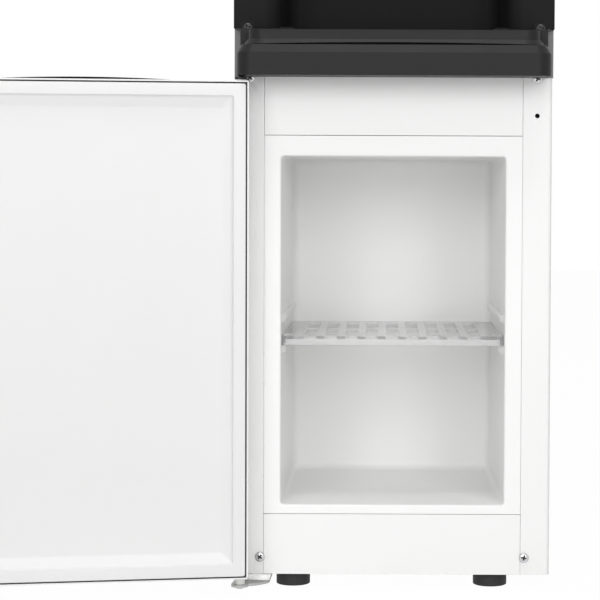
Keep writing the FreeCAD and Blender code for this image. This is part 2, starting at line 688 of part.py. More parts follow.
def foot_nuts():
    """Four hexagon nuts that clamp the feet to the base pan."""
    nuts = []
    for place in foot_places():
        base = place + UP * Z_FLOOR
        nut = peg(FOOT_NUT_ACROSS / 2, FOOT_NUT_HEIGHT, base, sides=6)
        nuts.append(nut.cut(peg(FOOT_STUD_RADIUS, FOOT_NUT_HEIGHT, base)))
    return Part.makeCompound(nuts)


def folded_panel(z0, z1):
    """Front sheet between the flanges with its upper and lower edges folded back."""
    w = FACE_HALF_W - SEAM / 2
    fold = BASE_RIM
    panel = slab(-w, w, FRONT_Y, FRONT_Y + fold, z0, z1)
    inside = slab(-w, w, FRONT_Y + SHEET, FRONT_Y + fold, z0 + SHEET, z1 - SHEET)
    return panel.cut(inside)


def front_top_panel():
    """White panel over the cabinet, notched where the drip tray's tongue goes in."""
    panel = folded_panel(Z_RIM_TOP + SEAM, Z_FASCIA - FASCIA_GAP)
    notch = slab(
        -HOLDER_HALF_W,
        HOLDER_HALF_W,
        FRONT_Y - CUT,
        FRONT_Y + BASE_RIM + CUT,
        Z_TRAY + TRAY_TONGUE_RISE - HOLDER_WALL,
        Z_FASCIA,
    )
    return panel.cut(notch)


def plinth_panel():
    """White panel below the cabinet, standing on the base pan's level."""
    return folded_panel(Z_BASE + BASE_RIM, Z_RIM - SEAM).fuse(
        slab(
            -FACE_HALF_W + SEAM / 2,
            FACE_HALF_W - SEAM / 2,
            FRONT_Y,
            FRONT_Y + SHEET,
            Z_BASE,
            Z_BASE + BASE_RIM + SHEET,
        )
    )


# ---------------------------------------------------------------- cabinet liner and shelf
def cavity(extra, front_y, back_y):
    """The cabinet's drafted space, grown outward by extra, between two depths."""
    def section(y, radius):
        lean = LINER_DRAFT * (y - FRONT_Y) / LINER_DEPTH - extra
        return front_wire(
            -OPENING_HALF_W + lean,
            OPENING_HALF_W - lean,
            Z_OPENING + lean,
            Z_OPENING_TOP - lean,
            radius,
            y,
        )

    return tapered(
        [section(front_y, LINER_FRONT_RADIUS + extra), section(back_y, LINER_BACK_RADIUS + extra)]
    )


def side_rib(z0, z1, reach):
    """Horizontal rib along both side walls of the cavity, with a sloped front end."""
    y0 = FRONT_Y + LINER_LIP + RIB_SETBACK
    y1 = FRONT_Y + LINER_DEPTH - RIB_BACK_GAP
    x = OPENING_HALF_W
    lean = LINER_DRAFT
    profile = [
        V(x + EPS, y0, z0),
        V(x - reach, y0 + 2 * reach, z0),
        V(x - reach - lean, y1, z0),
        V(x + EPS, y1 + reach, z0),
    ]
    face = Part.Face(Part.makePolygon(profile + profile[:1]))
    return face.extrude(UP * (z1 - z0))


def cabinet_liner():
    """One-piece moulded cabinet: rim, drafted walls, shelf ledges and guide ribs."""
    w = FACE_HALF_W - SEAM / 2
    back_y = FRONT_Y + LINER_DEPTH
    rim = slab(-w, w, FRONT_Y, FRONT_Y + LINER_WALL, Z_RIM, Z_RIM_TOP)
    outer = cavity(LINER_WALL, FRONT_Y, back_y + LINER_WALL)
    inner = cavity(0.0, FRONT_Y - CUT, back_y)
    shell = rim.fuse(outer).cut([inner, lip_bevel()])
    walls = outer.cut(rim)
    guide = Z_LEDGE + GUIDE_GAP
    for rib in (
        side_rib(Z_LEDGE - LEDGE_HEIGHT, Z_LEDGE, LEDGE_REACH),
        side_rib(guide, guide + GUIDE_HEIGHT, LEDGE_REACH),
    ):
        space = walls.fuse(inner)
        shell = shell.fuse([rib.common(space), mirrored(rib).common(space)])
    return shell.removeSplitter()


def lip_bevel():
    """Flared mouth that eases the front edge of the cabinet's opening."""
    def mouth(grow, y):
        return front_wire(
            -OPENING_HALF_W - grow,
            OPENING_HALF_W + grow,
            Z_OPENING - grow,
            Z_OPENING_TOP + grow,
            LINER_FRONT_RADIUS + grow,
            y,
        )

    reach = LINER_LIP
    return tapered([mouth(reach, FRONT_Y), mouth(0.0, FRONT_Y + reach)])


def shelf_half_width(y):
    """Half width of the shelf at a depth, following the cabinet's leaning walls."""
    return OPENING_HALF_W - LINER_DRAFT * (y - FRONT_Y) / LINER_DEPTH - SHELF_CLEARANCE


def shelf():
    """Clear slotted shelf with a turned-down lip and raised front corner blocks."""
    y0 = FRONT_Y + SHELF_SETBACK
    y1 = y0 + SHELF_DEPTH
    z0 = Z_LEDGE
    z1 = z0 + SHELF_LIP
    front_w = shelf_half_width(y0)
    w = shelf_half_width(y1)
    radii = [0, 0, SHELF_CORNER, SHELF_CORNER]

    def plan(inset, z):
        corners = [
            V(-front_w + inset, y0 + inset, z),
            V(front_w - inset, y0 + inset, z),
            V(w - inset, y1 - inset, z),
            V(-w + inset, y1 - inset, z),
        ]
        return rounded_wire(corners, radii)

    t = SHELF_LIP_WALL
    body = prism(plan(0, z0), SHELF_LIP).cut(prism(plan(t, z0 - CUT), SHELF_LIP - SHELF_THICKNESS + CUT))
    block_y = y0 + SHELF_BLOCK_WIDTH
    block_w = shelf_half_width(block_y)
    block = slab(block_w - SHELF_BLOCK_WIDTH, block_w, y0, block_y, z1 - CUT, z1 + SHELF_BLOCK_RISE)
    body = body.fuse([block, mirrored(block)])
    pitch = 2 * (w - SHELF_SLOT_SIDE) / SHELF_SLOT_COLUMNS
    cell = (SHELF_DEPTH - SHELF_SLOT_MARGIN * (SHELF_SLOT_ROWS + 1)) / SHELF_SLOT_ROWS
    slots = []
    scoops = []
    for column in range(SHELF_SLOT_COLUMNS):
        x = (column - (SHELF_SLOT_COLUMNS - 1) / 2) * pitch
        for row in range(SHELF_SLOT_ROWS):
            y = y0 + SHELF_SLOT_MARGIN + row * (cell + SHELF_SLOT_MARGIN)
            half = SHELF_SLOT_WIDTH / 2
            slots.append(slab(x - half, x + half, y, y + cell, z0, z1 + CUT))
        centre = V(x, y0 - CUT, z1 - SHELF_SCOOP_DEPTH + SHELF_SCOOP_RADIUS)
        scoops.append(peg(SHELF_SCOOP_RADIUS, t + 2 * CUT, centre, BACKWARD, FINE_SIDES))
    return body.cut(slots + scoops)


# ---------------------------------------------------------------- door
def swing(shape):
    """Turn a piece of the shut door to the door's resting angle."""
    turned = shape.copy()
    turned.rotate(V(HINGE_X, HINGE_Y, 0), UP, -DOOR_OPEN_ANGLE)
    return turned


def pull_lens(grow):
    """Lens outline of the pull, grown by a clearance, as a face at y = 0."""
    half = PULL_WIDTH / 2 + grow
    top = V(0, 0, Z_DOOR_TOP + PULL_RISE + grow)
    bottom = V(0, 0, Z_DOOR_TOP - PULL_DROP - grow)
    left = V(-half, 0, Z_DOOR_TOP)
    right = V(half, 0, Z_DOOR_TOP)
    upper = Part.Arc(left, top, right).toShape()
    lower = Part.Arc(right, bottom, left).toShape()
    return Part.Face(Part.Wire([upper, lower]))


def door_pull():
    """Arched black grip let into the middle of the door's upper edge, scooped for fingers."""
    y0 = DOOR_OUTER_Y - PULL_PROUD
    block = pull_lens(0.0).extrude(V(0, PULL_PROUD + DOOR_THICKNESS - DOOR_PANEL_RETURN, 0))
    block.translate(V(0, y0, 0))
    scoop = pull_lens(-PULL_WALL).extrude(V(0, PULL_SCOOP + CUT, 0))
    scoop.translate(V(0, y0 - CUT, -PULL_WALL))
    return block.cut(scoop)


def pull_pocket():
    """Space that the door's skins leave for the pull."""
    pocket = pull_lens(PULL_CLEARANCE).extrude(
        V(0, PULL_PROUD + DOOR_THICKNESS - DOOR_PANEL_RETURN + PULL_CLEARANCE, 0)
    )
    pocket.translate(V(0, DOOR_OUTER_Y - PULL_PROUD, 0))
    return pocket


def bush_bores():
    """Bores for the two hinge bushes, through the door's upper and lower edges."""
    depth = PIN_DEPTH + BUSH_END
    low = peg(BUSH_RADIUS, depth, V(HINGE_X, HINGE_Y, Z_DOOR))
    high = peg(BUSH_RADIUS, depth, V(HINGE_X, HINGE_Y, Z_DOOR_TOP), V(0, 0, -1))
    return [low, high]


def door_outer_shell():
    """Outer skin of the door: a shallow tray with a bevelled face edge."""
    x = DOOR_WIDTH / 2
    y_rim = DOOR_INNER_Y - DOOR_RIM_SETBACK
    corner = DOOR_CORNER

    def section(inset, y):
        return front_wire(-x + inset, x - inset, Z_DOOR + inset, Z_DOOR_TOP - inset, corner, y)

    edge = DOOR_OUTER_EDGE
    block = tapered(
        [
            section(0.0, y_rim),
            section(0.0, DOOR_OUTER_Y + edge),
            section(edge / 3, DOOR_OUTER_Y + edge / 3),
            section(edge, DOOR_OUTER_Y),
        ]
    )
    t = DOOR_SKIN
    y_well = DOOR_OUTER_Y + edge / 3 + t
    well = slab(-x + t, x - t, y_well, y_rim + CUT, Z_DOOR + t, Z_DOOR_TOP - t)
    return block.cut([well, pull_pocket()] + bush_bores())


def door_inner_panel():
    """Moulded inner panel: flat border, sloped recess, seating foot and two hinge bosses."""
    x = DOOR_WIDTH / 2
    border, slope = DOOR_BORDER, DOOR_RECESS_SLOPE
    y0 = DOOR_INNER_Y
    t = DOOR_SKIN
    floor_y = y0 - DOOR_RECESS_DEPTH

    def recess(grow, y_open, y_floor):
        mouth = border - grow
        base = border + slope - grow
        return tapered(
            [
                front_wire(
                    -x + mouth, x - mouth, Z_DOOR + mouth, Z_DOOR_TOP - mouth,
                    DOOR_RECESS_CORNER, y_open,
                ),
                front_wire(
                    -x + base, x - base, Z_DOOR + base, Z_DOOR_TOP - base,
                    DOOR_RECESS_CORNER, y_floor,
                ),
            ]
        )

    back_y = y0 - DOOR_PANEL_RETURN
    edge = DOOR_SKIN + DOOR_JOINT
    sides = -x + edge, x - edge, Z_DOOR + edge, Z_DOOR_TOP - edge
    block = front_slab(*sides, back_y, y0, DOOR_CORNER)
    foot = slab(-x + t, x - t, back_y, back_y + t, Z_DOOR + t, Z_DOOR_TOP - t)
    inset = edge + t
    hollow = slab(
        -x + inset, x - inset, back_y - CUT, y0 - t, Z_DOOR + inset, Z_DOOR_TOP - inset
    )
    skin = block.fuse(foot).cut(hollow)
    skin = skin.fuse(recess(t, y0 - t, floor_y - t))
    skin = skin.cut(recess(0.0, y0 + EPS, floor_y))
    depth = PIN_DEPTH + BUSH_END + t
    gap = t + SEAM
    for z in (Z_DOOR + edge, Z_DOOR_TOP - edge - depth):
        reach = 2 * BUSH_RADIUS
        boss = slab(-x + edge, HINGE_X + reach, HINGE_Y - reach, y0 - t, z, z + depth)
        cheek = slab(-x + gap, HINGE_X, HINGE_Y - reach, back_y, z, z + depth)
        skin = skin.fuse([boss, cheek])
    return skin.cut([recess(0.0, y0 + EPS, floor_y)] + bush_bores()).removeSplitter()


def door_magnet():
    """Catch magnet behind the border on the door's free side."""
    x1 = DOOR_WIDTH / 2 - DOOR_JOINT - 2 * DOOR_SKIN
    y1 = DOOR_INNER_Y - DOOR_SKIN
    middle = (Z_DOOR + Z_DOOR_TOP) / 2
    half = MAGNET_LENGTH / 2
    return slab(x1 - MAGNET_WIDTH, x1, y1 - MAGNET_DEPTH, y1, middle - half, middle + half)


def bush(collar, z, direction):
    """Flanged nylon bush with a blind bore, whose collar stands outside the door."""
    base = V(HINGE_X, HINGE_Y, z)
    outside = base - direction * collar
    sleeve = peg(BUSH_RADIUS, PIN_DEPTH + BUSH_END, base, direction)
    flange = peg(BUSH_COLLAR_RADIUS, collar, outside, direction, FINE_SIDES)
    bore = rod(PIN_RADIUS + PIN_CLEARANCE, collar + PIN_DEPTH + BUSH_END / 2, outside, direction)
    return sleeve.fuse(flange).cut(bore)


def lower_bush():
    """Bush between the lower hinge plate and the door."""
    collar = Z_DOOR - Z_LOWER_PIVOT - HINGE_PLATE - PIN_CLEARANCE
    return bush(collar, Z_DOOR, UP)


def upper_bush():
    """Bush between the upper hinge plate and the door."""
    collar = UPPER_PLATE_GAP - PIN_CLEARANCE
    return bush(collar, Z_DOOR_TOP, V(0, 0, -1))


def hinge_screw_places():
    """Plan places of the lower hinge plate's two screws."""
    x = HINGE_X + LOWER_PLATE_WIDTH / 2 - LOWER_PLATE_END
    return [(x, FRONT_Y + LOWER_PLATE_REACH * k) for k in HINGE_SCREW_SHARES]


def lower_hinge_plate():
    """Steel plate under the casing, joggled down and swept forward to the pivot."""
    x0 = HINGE_X - UPPER_PLATE_END
    x1 = x0 + LOWER_PLATE_WIDTH
    y1 = FRONT_Y + LOWER_PLATE_REACH
    end = LOWER_PLATE_END
    start_bend = FRONT_Y - DOOR_FACE_GAP / 2
    swept_arm = [
        V(x1, y1, 0),
        V(x0, y1, 0),
        V(x0, start_bend, 0),
        V(HINGE_X - end, HINGE_Y, 0),
    ]
    tip = V(HINGE_X, HINGE_Y - end, 0)
    other = V(HINGE_X + end, HINGE_Y, 0)
    corner = V(x1, FRONT_Y, 0)
    middle = (other + corner) / 2
    sweep_mid = middle + V(LOWER_PLATE_BELLY[0], -LOWER_PLATE_BELLY[1], 0)
    edges = [
        Part.LineSegment(a, b).toShape() for a, b in zip(swept_arm, swept_arm[1:])
    ]
    edges.append(Part.Arc(swept_arm[-1], tip, other).toShape())
    edges.append(Part.Arc(other, sweep_mid, corner).toShape())
    edges.append(Part.LineSegment(corner, swept_arm[0]).toShape())
    plan = Part.Face(Part.Wire(edges)).extrude(UP * FOOT_HEIGHT)
    side = [
        (y1, Z_BASE),
        (start_bend, Z_BASE),
        (start_bend - LOWER_PLATE_DROP, Z_BASE - LOWER_PLATE_DROP),
        (HINGE_Y - end - CUT, Z_BASE - LOWER_PLATE_DROP),
        (HINGE_Y - end - CUT, Z_BASE - LOWER_PLATE_DROP - HINGE_PLATE),
        (start_bend - LOWER_PLATE_DROP, Z_BASE - LOWER_PLATE_DROP - HINGE_PLATE),
        (start_bend, Z_BASE - HINGE_PLATE),
        (y1, Z_BASE - HINGE_PLATE),
    ]
    wire = Part.makePolygon([V(x0 - end, y, z) for y, z in side + side[:1]])
    strip = Part.Face(wire).extrude(V(LOWER_PLATE_WIDTH + 2 * end, 0, 0))
    plate = plan.common(strip)
    hole = rod(PIN_RADIUS, FOOT_HEIGHT, V(HINGE_X, HINGE_Y, 0))
    screws = [peg(SCREW_HOLE, FOOT_HEIGHT + CUT, V(x, y, 0)) for x, y in hinge_screw_places()]
    return plate.cut([hole] + screws)


def hinge_pin(z_plate, direction):
    """Riveted pivot pin: head under its plate, shank up into the bush."""
    gap = Z_DOOR - Z_LOWER_PIVOT - HINGE_PLATE
    base = V(HINGE_X, HINGE_Y, z_plate)
    shank = rod(PIN_RADIUS, HINGE_PLATE + PIN_DEPTH + gap, base, direction)
    rims = [ring(PIN_HEAD_RADIUS, 0), ring(PIN_HEAD_RADIUS - PIN_HEAD_HEIGHT / 2, -PIN_HEAD_HEIGHT)]
    head = tapered(rims)
    head.translate(base)
    return shank.fuse(head)


def lower_hinge_pin():
    """Pin that carries the door."""
    return hinge_pin(Z_LOWER_PIVOT, UP)


def upper_hinge_plate():
    """Narrow arm through the side panel's flange, turned up behind it."""
    x0 = UPPER_PLATE_X
    x1 = x0 + UPPER_PLATE_WIDTH
    y1 = FRONT_Y + UPPER_PLATE_REACH
    z0, z1 = Z_UPPER_PLATE, Z_UPPER_PLATE + HINGE_PLATE
    arm = slab(x0, x1, HINGE_Y, y1, z0, z1)
    end = rod(UPPER_PLATE_END, HINGE_PLATE, V(HINGE_X, HINGE_Y, z0))
    y0 = FRONT_Y + CASING_BEND
    tab = slab(-INNER_HALF_W, -INNER_HALF_W + HINGE_PLATE, y0, y1, z0, z0 + UPPER_PLATE_REACH)
    foot_bar = slab(-INNER_HALF_W, x0 + EPS, y0, y1, z0, z1)
    plate = arm.fuse([end, tab, foot_bar])
    return plate.cut(rod(PIN_RADIUS, HINGE_PLATE, V(HINGE_X, HINGE_Y, z0))).removeSplitter()


def upper_hinge_pin():
    """Pin that steadies the door's upper edge; its flat head clears the tray."""
    z0 = Z_UPPER_PLATE + HINGE_PLATE
    length = HINGE_PLATE + UPPER_PLATE_GAP + PIN_DEPTH
    return rod(PIN_RADIUS, length, V(HINGE_X, HINGE_Y, z0), V(0, 0, -1))


def hinge_screws():
    """Screws that hold the lower hinge plate up to the base pan."""
    z = Z_BASE - HINGE_PLATE
    down = V(0, 0, -1)
    return Part.makeCompound([hex_screw(V(x, y, z), down) for x, y in hinge_screw_places()])


# ---------------------------------------------------------------- drip tray
def wide_outline(inset, corner, back_y, z):
    """Plan outline of the tray's or grille's wide front part, pulled in by inset."""
    w = TRAY_WIDTH / 2 - inset
    y0 = TRAY_FRONT_Y + inset
    radius = max(corner - inset, TRAY_WALL)
    wire = outline(-w, w, y0, back_y, [radius, radius, 0, 0])
    wire.translate(V(0, 0, z))
    return wire


def prism(wire, height):
    """Upright prism on a plan wire."""
    return Part.Face(wire).extrude(UP * height)


def drip_tray():
    """Catch basin with a bevelled front rim and a narrow tongue into the niche."""
    wall = TRAY_WALL
    back = TRAY_BACK_Y
    tongue_z = Z_TRAY + TRAY_TONGUE_RISE
    rim = TRAY_BEVEL_INSET
    outer = prism(wide_outline(0, TRAY_CORNER, back, Z_TRAY), TRAY_WALL_HEIGHT)
    bevel = tapered(
        [
            wide_outline(0, TRAY_CORNER, back, Z_TRAY_BEVEL),
            wide_outline(rim, TRAY_CORNER, back, Z_TRAY_RIM),
        ]
    )
    tongue = slab(-TONGUE_HALF_W, TONGUE_HALF_W, back - rim, TONGUE_Y, tongue_z, Z_TRAY_RIM)
    inner_back = back - wall
    floor = wide_outline(wall, TRAY_CORNER, inner_back, Z_TRAY + wall)
    basin = prism(floor, TRAY_WALL_HEIGHT - wall)
    mouth = tapered(
        [
            wide_outline(wall, TRAY_CORNER, inner_back, Z_TRAY_BEVEL),
            wide_outline(wall + rim, TRAY_CORNER, inner_back, Z_TRAY_RIM + EPS),
        ]
    )
    channel = slab(
        -TONGUE_HALF_W + wall,
        TONGUE_HALF_W - wall,
        inner_back - rim,
        TONGUE_Y - wall,
        tongue_z + wall,
        Z_TRAY_RIM + CUT,
    )
    return outer.fuse([bevel, tongue]).removeSplitter().cut([basin, mouth, channel])


def tray_holder():
    """Channel behind the front panel that the tray's tongue slides in."""
    z0 = Z_TRAY + TRAY_TONGUE_RISE - HOLDER_WALL
    z1 = Z_FASCIA
    w, t = HOLDER_HALF_W, HOLDER_WALL
    y0 = FRONT_Y
    channel = slab(-w, w, y0, HOLDER_Y, z0, z1)
    inside = slab(-w + t, w - t, y0 - CUT, HOLDER_Y - t, z0 + t, z1 + CUT)
    return channel.cut(inside)


def drip_grille():
    """Inverted pan with a slotted top that cups stand on and a low splash guard behind."""
    t = GRILLE_WALL
    back = FRONT_Y - GRILLE_BACK_GAP
    flange_inset = TRAY_BEVEL_INSET + GRILLE_FLANGE_GAP
    lean = GRILLE_FLANGE_SLOPE
    skirt_inset = flange_inset + lean + GRILLE_FLANGE_OUT
    tongue_w = TONGUE_HALF_W - GRILLE_TONGUE_INSET
    tongue_y = TONGUE_Y - GRILLE_TONGUE_INSET
    height = Z_GRILLE - Z_TRAY_RIM
    flange = tapered(
        [
            wide_outline(flange_inset, GRILLE_CORNER, back, Z_TRAY_RIM),
            wide_outline(flange_inset + lean, GRILLE_CORNER, back, Z_GRILLE_FLANGE),
        ]
    )
    skirt = prism(wide_outline(skirt_inset, GRILLE_CORNER, back, Z_TRAY_RIM), height)
    tongue = slab(-tongue_w, tongue_w, back - t, tongue_y, Z_TRAY_RIM, Z_GRILLE)
    crest_w = TRAY_WIDTH / 2 - GRILLE_CREST_INSET
    crest_top = Z_GRILLE + GRILLE_CREST_RISE
    crest = slab(-crest_w, crest_w, back - t, back, Z_TRAY_RIM, crest_top)
    crest = crest.cut(slab(-tongue_w, tongue_w, back - 2 * t, back + t, Z_GRILLE, crest_top + CUT))
    pan = flange.fuse([skirt, tongue, crest]).removeSplitter()
    under = wide_outline(skirt_inset + t, GRILLE_CORNER, back - t, Z_TRAY_RIM - CUT)
    hollow = prism(under, height + CUT - t)
    hollow = hollow.fuse(
        slab(-tongue_w + t, tongue_w - t, back - 2 * t, tongue_y - t, Z_TRAY_RIM - CUT, Z_GRILLE - t)
    )
    pan = pan.cut(hollow)
    lens_half = TRAY_WIDTH / 2 - flange_inset
    sill = Z_TRAY_RIM
    lens = Part.Wire(
        [
            Part.Arc(V(-lens_half, 0, sill), V(0, 0, sill + GRILLE_LENS), V(lens_half, 0, sill)).toShape(),
            Part.LineSegment(V(lens_half, 0, sill), V(-lens_half, 0, sill)).toShape(),
        ]
    )
    relief = Part.Face(lens).extrude(V(0, GRILLE_CORNER + t, 0))
    relief.translate(V(0, TRAY_FRONT_Y, 0))
    slots = []
    y0 = TRAY_FRONT_Y + skirt_inset + GRILLE_SLOT_MARGIN
    y1 = tongue_y - GRILLE_SLOT_MARGIN
    half = GRILLE_SLOT_WIDTH / 2
    pitch = 2 * (tongue_w - GRILLE_SLOT_SIDE) / GRILLE_SLOTS
    for i in range(GRILLE_SLOTS):
        x = (i - (GRILLE_SLOTS - 1) / 2) * pitch
        slots.append(slab(x - half, x + half, y0, y1, Z_GRILLE - t - CUT, Z_GRILLE + CUT))
    return pan.cut([relief] + slots)


# ---------------------------------------------------------------- fascia, niche and head
def flipped(line):
    """A plan line of (point, radius) on the other side of the middle plane."""
    return [(V(-p.x, p.y, 0), r) for p, r in line]


def plan_face(line, z):
    """Face at height z inside a closed plan line of (point, radius)."""
    wire = rounded_wire([p for p, _ in line], [r for _, r in line])
    wire.translate(UP * z)
    return Part.Face(wire)


def niche_line(grow):
    """Right half of the fascia's plan line, from its outer edge in to the niche's back wall."""
    x_out = FASCIA_HALF_W - grow
    x_in = NICHE_HALF_WIDTH + grow
    y_face = FASCIA_Y + grow
    return [
        (V(x_out, FRONT_Y, 0), 0),
        (V(x_out, y_face, 0), FASCIA_EDGE_RADIUS - grow),
        (V(HALF_W - FLANGE_WIDTH / 2, y_face + FASCIA_SLANT, 0), 2 * NICHE_SHOULDER - grow),
        (V(x_in + NICHE_SPLAY, y_face + 2 * FASCIA_SLANT, 0), NICHE_SHOULDER - grow),
        (V(x_in, NICHE_Y + grow, 0), NICHE_BACK_RADIUS + grow),
    ]


def fascia_niche():
    """Glossy moulding: slim front cheeks that turn back into the taps' niche."""
    front = niche_line(0.0)
    hidden = niche_line(FASCIA_WALL)
    band = front + flipped(front)[::-1] + flipped(hidden) + hidden[::-1]
    wall = plan_face(band, Z_FASCIA).extrude(UP * NICHE_HEIGHT)
    room = [(front[2][0], 0)] + front[3:]
    floor = plan_face(room + flipped(room)[::-1], Z_FASCIA).extrude(UP * FASCIA_WALL)
    gap = HOLDER_CLEARANCE
    mouth = slab(
        -TONGUE_HALF_W - gap,
        TONGUE_HALF_W + gap,
        FASCIA_Y - CUT,
        TONGUE_Y + gap,
        Z_FASCIA - CUT,
        Z_FASCIA + FASCIA_WALL + CUT,
    )
    half = FASCIA_TAB_WIDTH / 2
    boss = slab(
        FASCIA_SCREW_X - half,
        FASCIA_SCREW_X + half,
        FASCIA_Y + FASCIA_BOSS,
        FRONT_Y,
        Z_FASCIA - FASCIA_TAB_DROP,
        Z_FASCIA + FASCIA_BOSS_RISE,
    )
    shell = wall.fuse([floor.cut(mouth), boss, mirrored(boss)])
    screw = V(FASCIA_SCREW_X, FRONT_Y, Z_FASCIA + SEAM)
    holes = [screw, V(-screw.x, screw.y, screw.z)]
    return drilled(shell, holes, SCREW_HOLE, BACKWARD).removeSplitter()


def head_wire(inset, lean, z):
    """Plan outline of the head: straight back, short sides and a bowed front."""
    x = FASCIA_HALF_W - inset
    y_side = FASCIA_Y - lean + inset
    y_back = FRONT_Y + (CUT if inset else 0)
    arc = Part.Arc(V(-x, y_side, z), V(0, y_side - HEAD_BULGE, z), V(x, y_side, z))
    right = Part.LineSegment(V(x, y_side, z), V(x, y_back, z))
    back = Part.LineSegment(V(x, y_back, z), V(-x, y_back, z))
    left = Part.LineSegment(V(-x, y_back, z), V(-x, y_side, z))
    return Part.Wire([e.toShape() for e in (arc, right, back, left)])


def lens_places():
    """Centres of the three indicator lenses on the head's front."""
    z = Z_TOP - LENS_HEIGHT_FROM_TOP
    lean = HEAD_LEAN * LENS_HEIGHT_FROM_TOP / HEAD_HEIGHT
    bow = (FASCIA_HALF_W**2 + HEAD_BULGE**2) / (2 * HEAD_BULGE)
    places = []
    for i in (-1, 0, 1):
        x = i * LENS_PITCH
        y = FASCIA_Y - lean - HEAD_BULGE + bow - math.sqrt(bow**2 - x**2)
        places.append(V(x, y, z))
    return places


def head_shell():
    """Bowed front of the head, open behind, with its floor over the niche."""
    outer = tapered([head_wire(0, HEAD_LEAN, Z_NICHE), head_wire(0, 0, Z_TOP)])
    inner = tapered([head_wire(FASCIA_WALL, HEAD_LEAN, Z_NICHE), head_wire(FASCIA_WALL, 0, Z_TOP)])
    keep = slab(
        -BODY_WIDTH, BODY_WIDTH, -BODY_DEPTH, BODY_DEPTH, Z_NICHE + HEAD_FLOOR, Z_TOP + CUT
    )
    shell = outer.cut(inner.common(keep))
    clearance = V(0, LENS_LENGTH, 0)
    holes = [
        peg(LENS_RADIUS, 3 * LENS_LENGTH, p - clearance, BACKWARD, FINE_SIDES) for p in lens_places()
    ]
    return shell.cut(holes)


def indicator_lenses():
    """Three small round lenses set in the head's front."""
    start = V(0, -LENS_PROUD, 0)
    return Part.makeCompound(
        [peg(LENS_RADIUS, LENS_LENGTH, p + start, BACKWARD, FINE_SIDES) for p in lens_places()]
    )


def tap_places():
    """X of the hot tap and of the cold tap."""
    return (-TAP_SPACING / 2, TAP_SPACING / 2)


def tap_plate():
    """Roof of the niche behind the flanges, which carries the taps."""
    plate = slab(
        -FACE_HALF_W,
        FACE_HALF_W,
        FRONT_Y,
        NICHE_Y + FASCIA_WALL,
        Z_NICHE,
        Z_NICHE + HEAD_FLOOR,
    )
    return plate.cut(
        [
            peg(TAP_RADIUS / 2 + HOLE_CLEARANCE, HEAD_FLOOR, V(x, TAP_Y, Z_NICHE))
            for x in tap_places()
        ]
    )


def cover_wire(inset, z):
    """Plan outline of the top cover: the casing's outline with the head's bowed front."""
    x = FASCIA_HALF_W - inset
    y_side = FASCIA_Y + inset
    y_back = REAR_Y + BACK_SHEET - inset
    arc = Part.Arc(V(-x, y_side, z), V(0, y_side - HEAD_BULGE, z), V(x, y_side, z))
    right = Part.LineSegment(V(x, y_side, z), V(x, y_back, z))
    back = Part.LineSegment(V(x, y_back, z), V(-x, y_back, z))
    left = Part.LineSegment(V(-x, y_back, z), V(-x, y_side, z))
    return Part.Wire([e.toShape() for e in (arc, right, back, left)])


def top_cover():
    """Moulded lid over the casing, rounded on top, with the hole for the bottle seat."""
    ease = COVER_TOP_RADIUS
    lid = prism(cover_wire(0, Z_TOP), COVER_HEIGHT - ease)
    shoulder = tapered([cover_wire(0, Z_COVER - ease), cover_wire(ease / 3, Z_COVER - ease / 3)])
    crown = tapered([cover_wire(ease / 3, Z_COVER - ease / 3), cover_wire(ease, Z_COVER)])
    lid = lid.fuse([shoulder, crown])
    inset = COVER_WALL + ease / 3
    room = prism(cover_wire(inset, Z_TOP - CUT), COVER_HEIGHT - COVER_WALL + CUT)
    lid = lid.cut(room)
    w = INNER_HALF_W
    y0, y1 = FRONT_Y + SHEET, REAR_Y - SHEET
    top = Z_COVER - COVER_WALL
    t = COVER_WALL
    rim = plan_slab(-w, w, y0, y1, Z_TOP - COVER_RIM, top, [CASING_BEND] * 4)
    inside = [CASING_BEND - t] * 4
    rim = rim.cut(plan_slab(-w + t, w - t, y0 + t, y1 - t, Z_TOP - COVER_RIM, top, inside))
    low = V(0, SEAT_Y, Z_TOP - CUT)
    hole = peg(SEAT_HOLE_RADIUS, COVER_HEIGHT + 2 * CUT, low, sides=SEAT_SIDES)
    return lid.fuse(rim).cut(hole).removeSplitter()


def bottle_seat():
    """Funnel collar that the bottle's shoulder rests in, lifted out for cleaning."""
    r = SEAT_HOLE_RADIUS - SEAT_CLEARANCE
    t = SEAT_WALL
    throat = SEAT_THROAT_RADIUS
    rim = SEAT_HOLE_RADIUS + SEAT_FLANGE
    shoulder = SEAT_CONE
    profile = [
        (rim, 0),
        (rim, t),
        (r - t, SEAT_RISE),
        (r - 2 * t, SEAT_RISE),
        (throat, -shoulder),
        (throat, -SEAT_DEPTH + t),
        (PROBE_RADIUS, -SEAT_DEPTH + t),
        (PROBE_RADIUS, -SEAT_DEPTH),
        (throat + t, -SEAT_DEPTH),
        (throat + t, -shoulder - t),
        (r, 0),
    ]
    return faceted(profile, V(0, SEAT_Y, Z_COVER), SEAT_SIDES)


def feed_probe():
    """Hollow spike in the seat's throat that opens the bottle's cap and feeds the tank."""
    low = -SEAT_DEPTH - PROBE_FLANGE
    top = PROBE_RISE
    profile = [
        (PROBE_BORE, low),
        (PROBE_RADIUS + PROBE_FLANGE, low),
        (PROBE_RADIUS + PROBE_FLANGE, low + PROBE_FLANGE),
        (PROBE_RADIUS, low + PROBE_FLANGE),
        (PROBE_RADIUS, top - PROBE_RADIUS),
        (PROBE_BORE / 2, top),
        (0, top),
        (0, top - PROBE_RADIUS),
        (PROBE_BORE, top - PROBE_RADIUS),
    ]
    probe = faceted(profile, V(0, SEAT_Y, Z_COVER), FINE_SIDES)
    half, height = PROBE_WINDOW[0] / 2, PROBE_WINDOW[1]
    z0 = Z_COVER - PROBE_WINDOW_DROP
    reach = 2 * PROBE_RADIUS
    window = slab(-half, half, SEAT_Y - reach, SEAT_Y + reach, z0, z0 + height)
    return probe.cut(window)


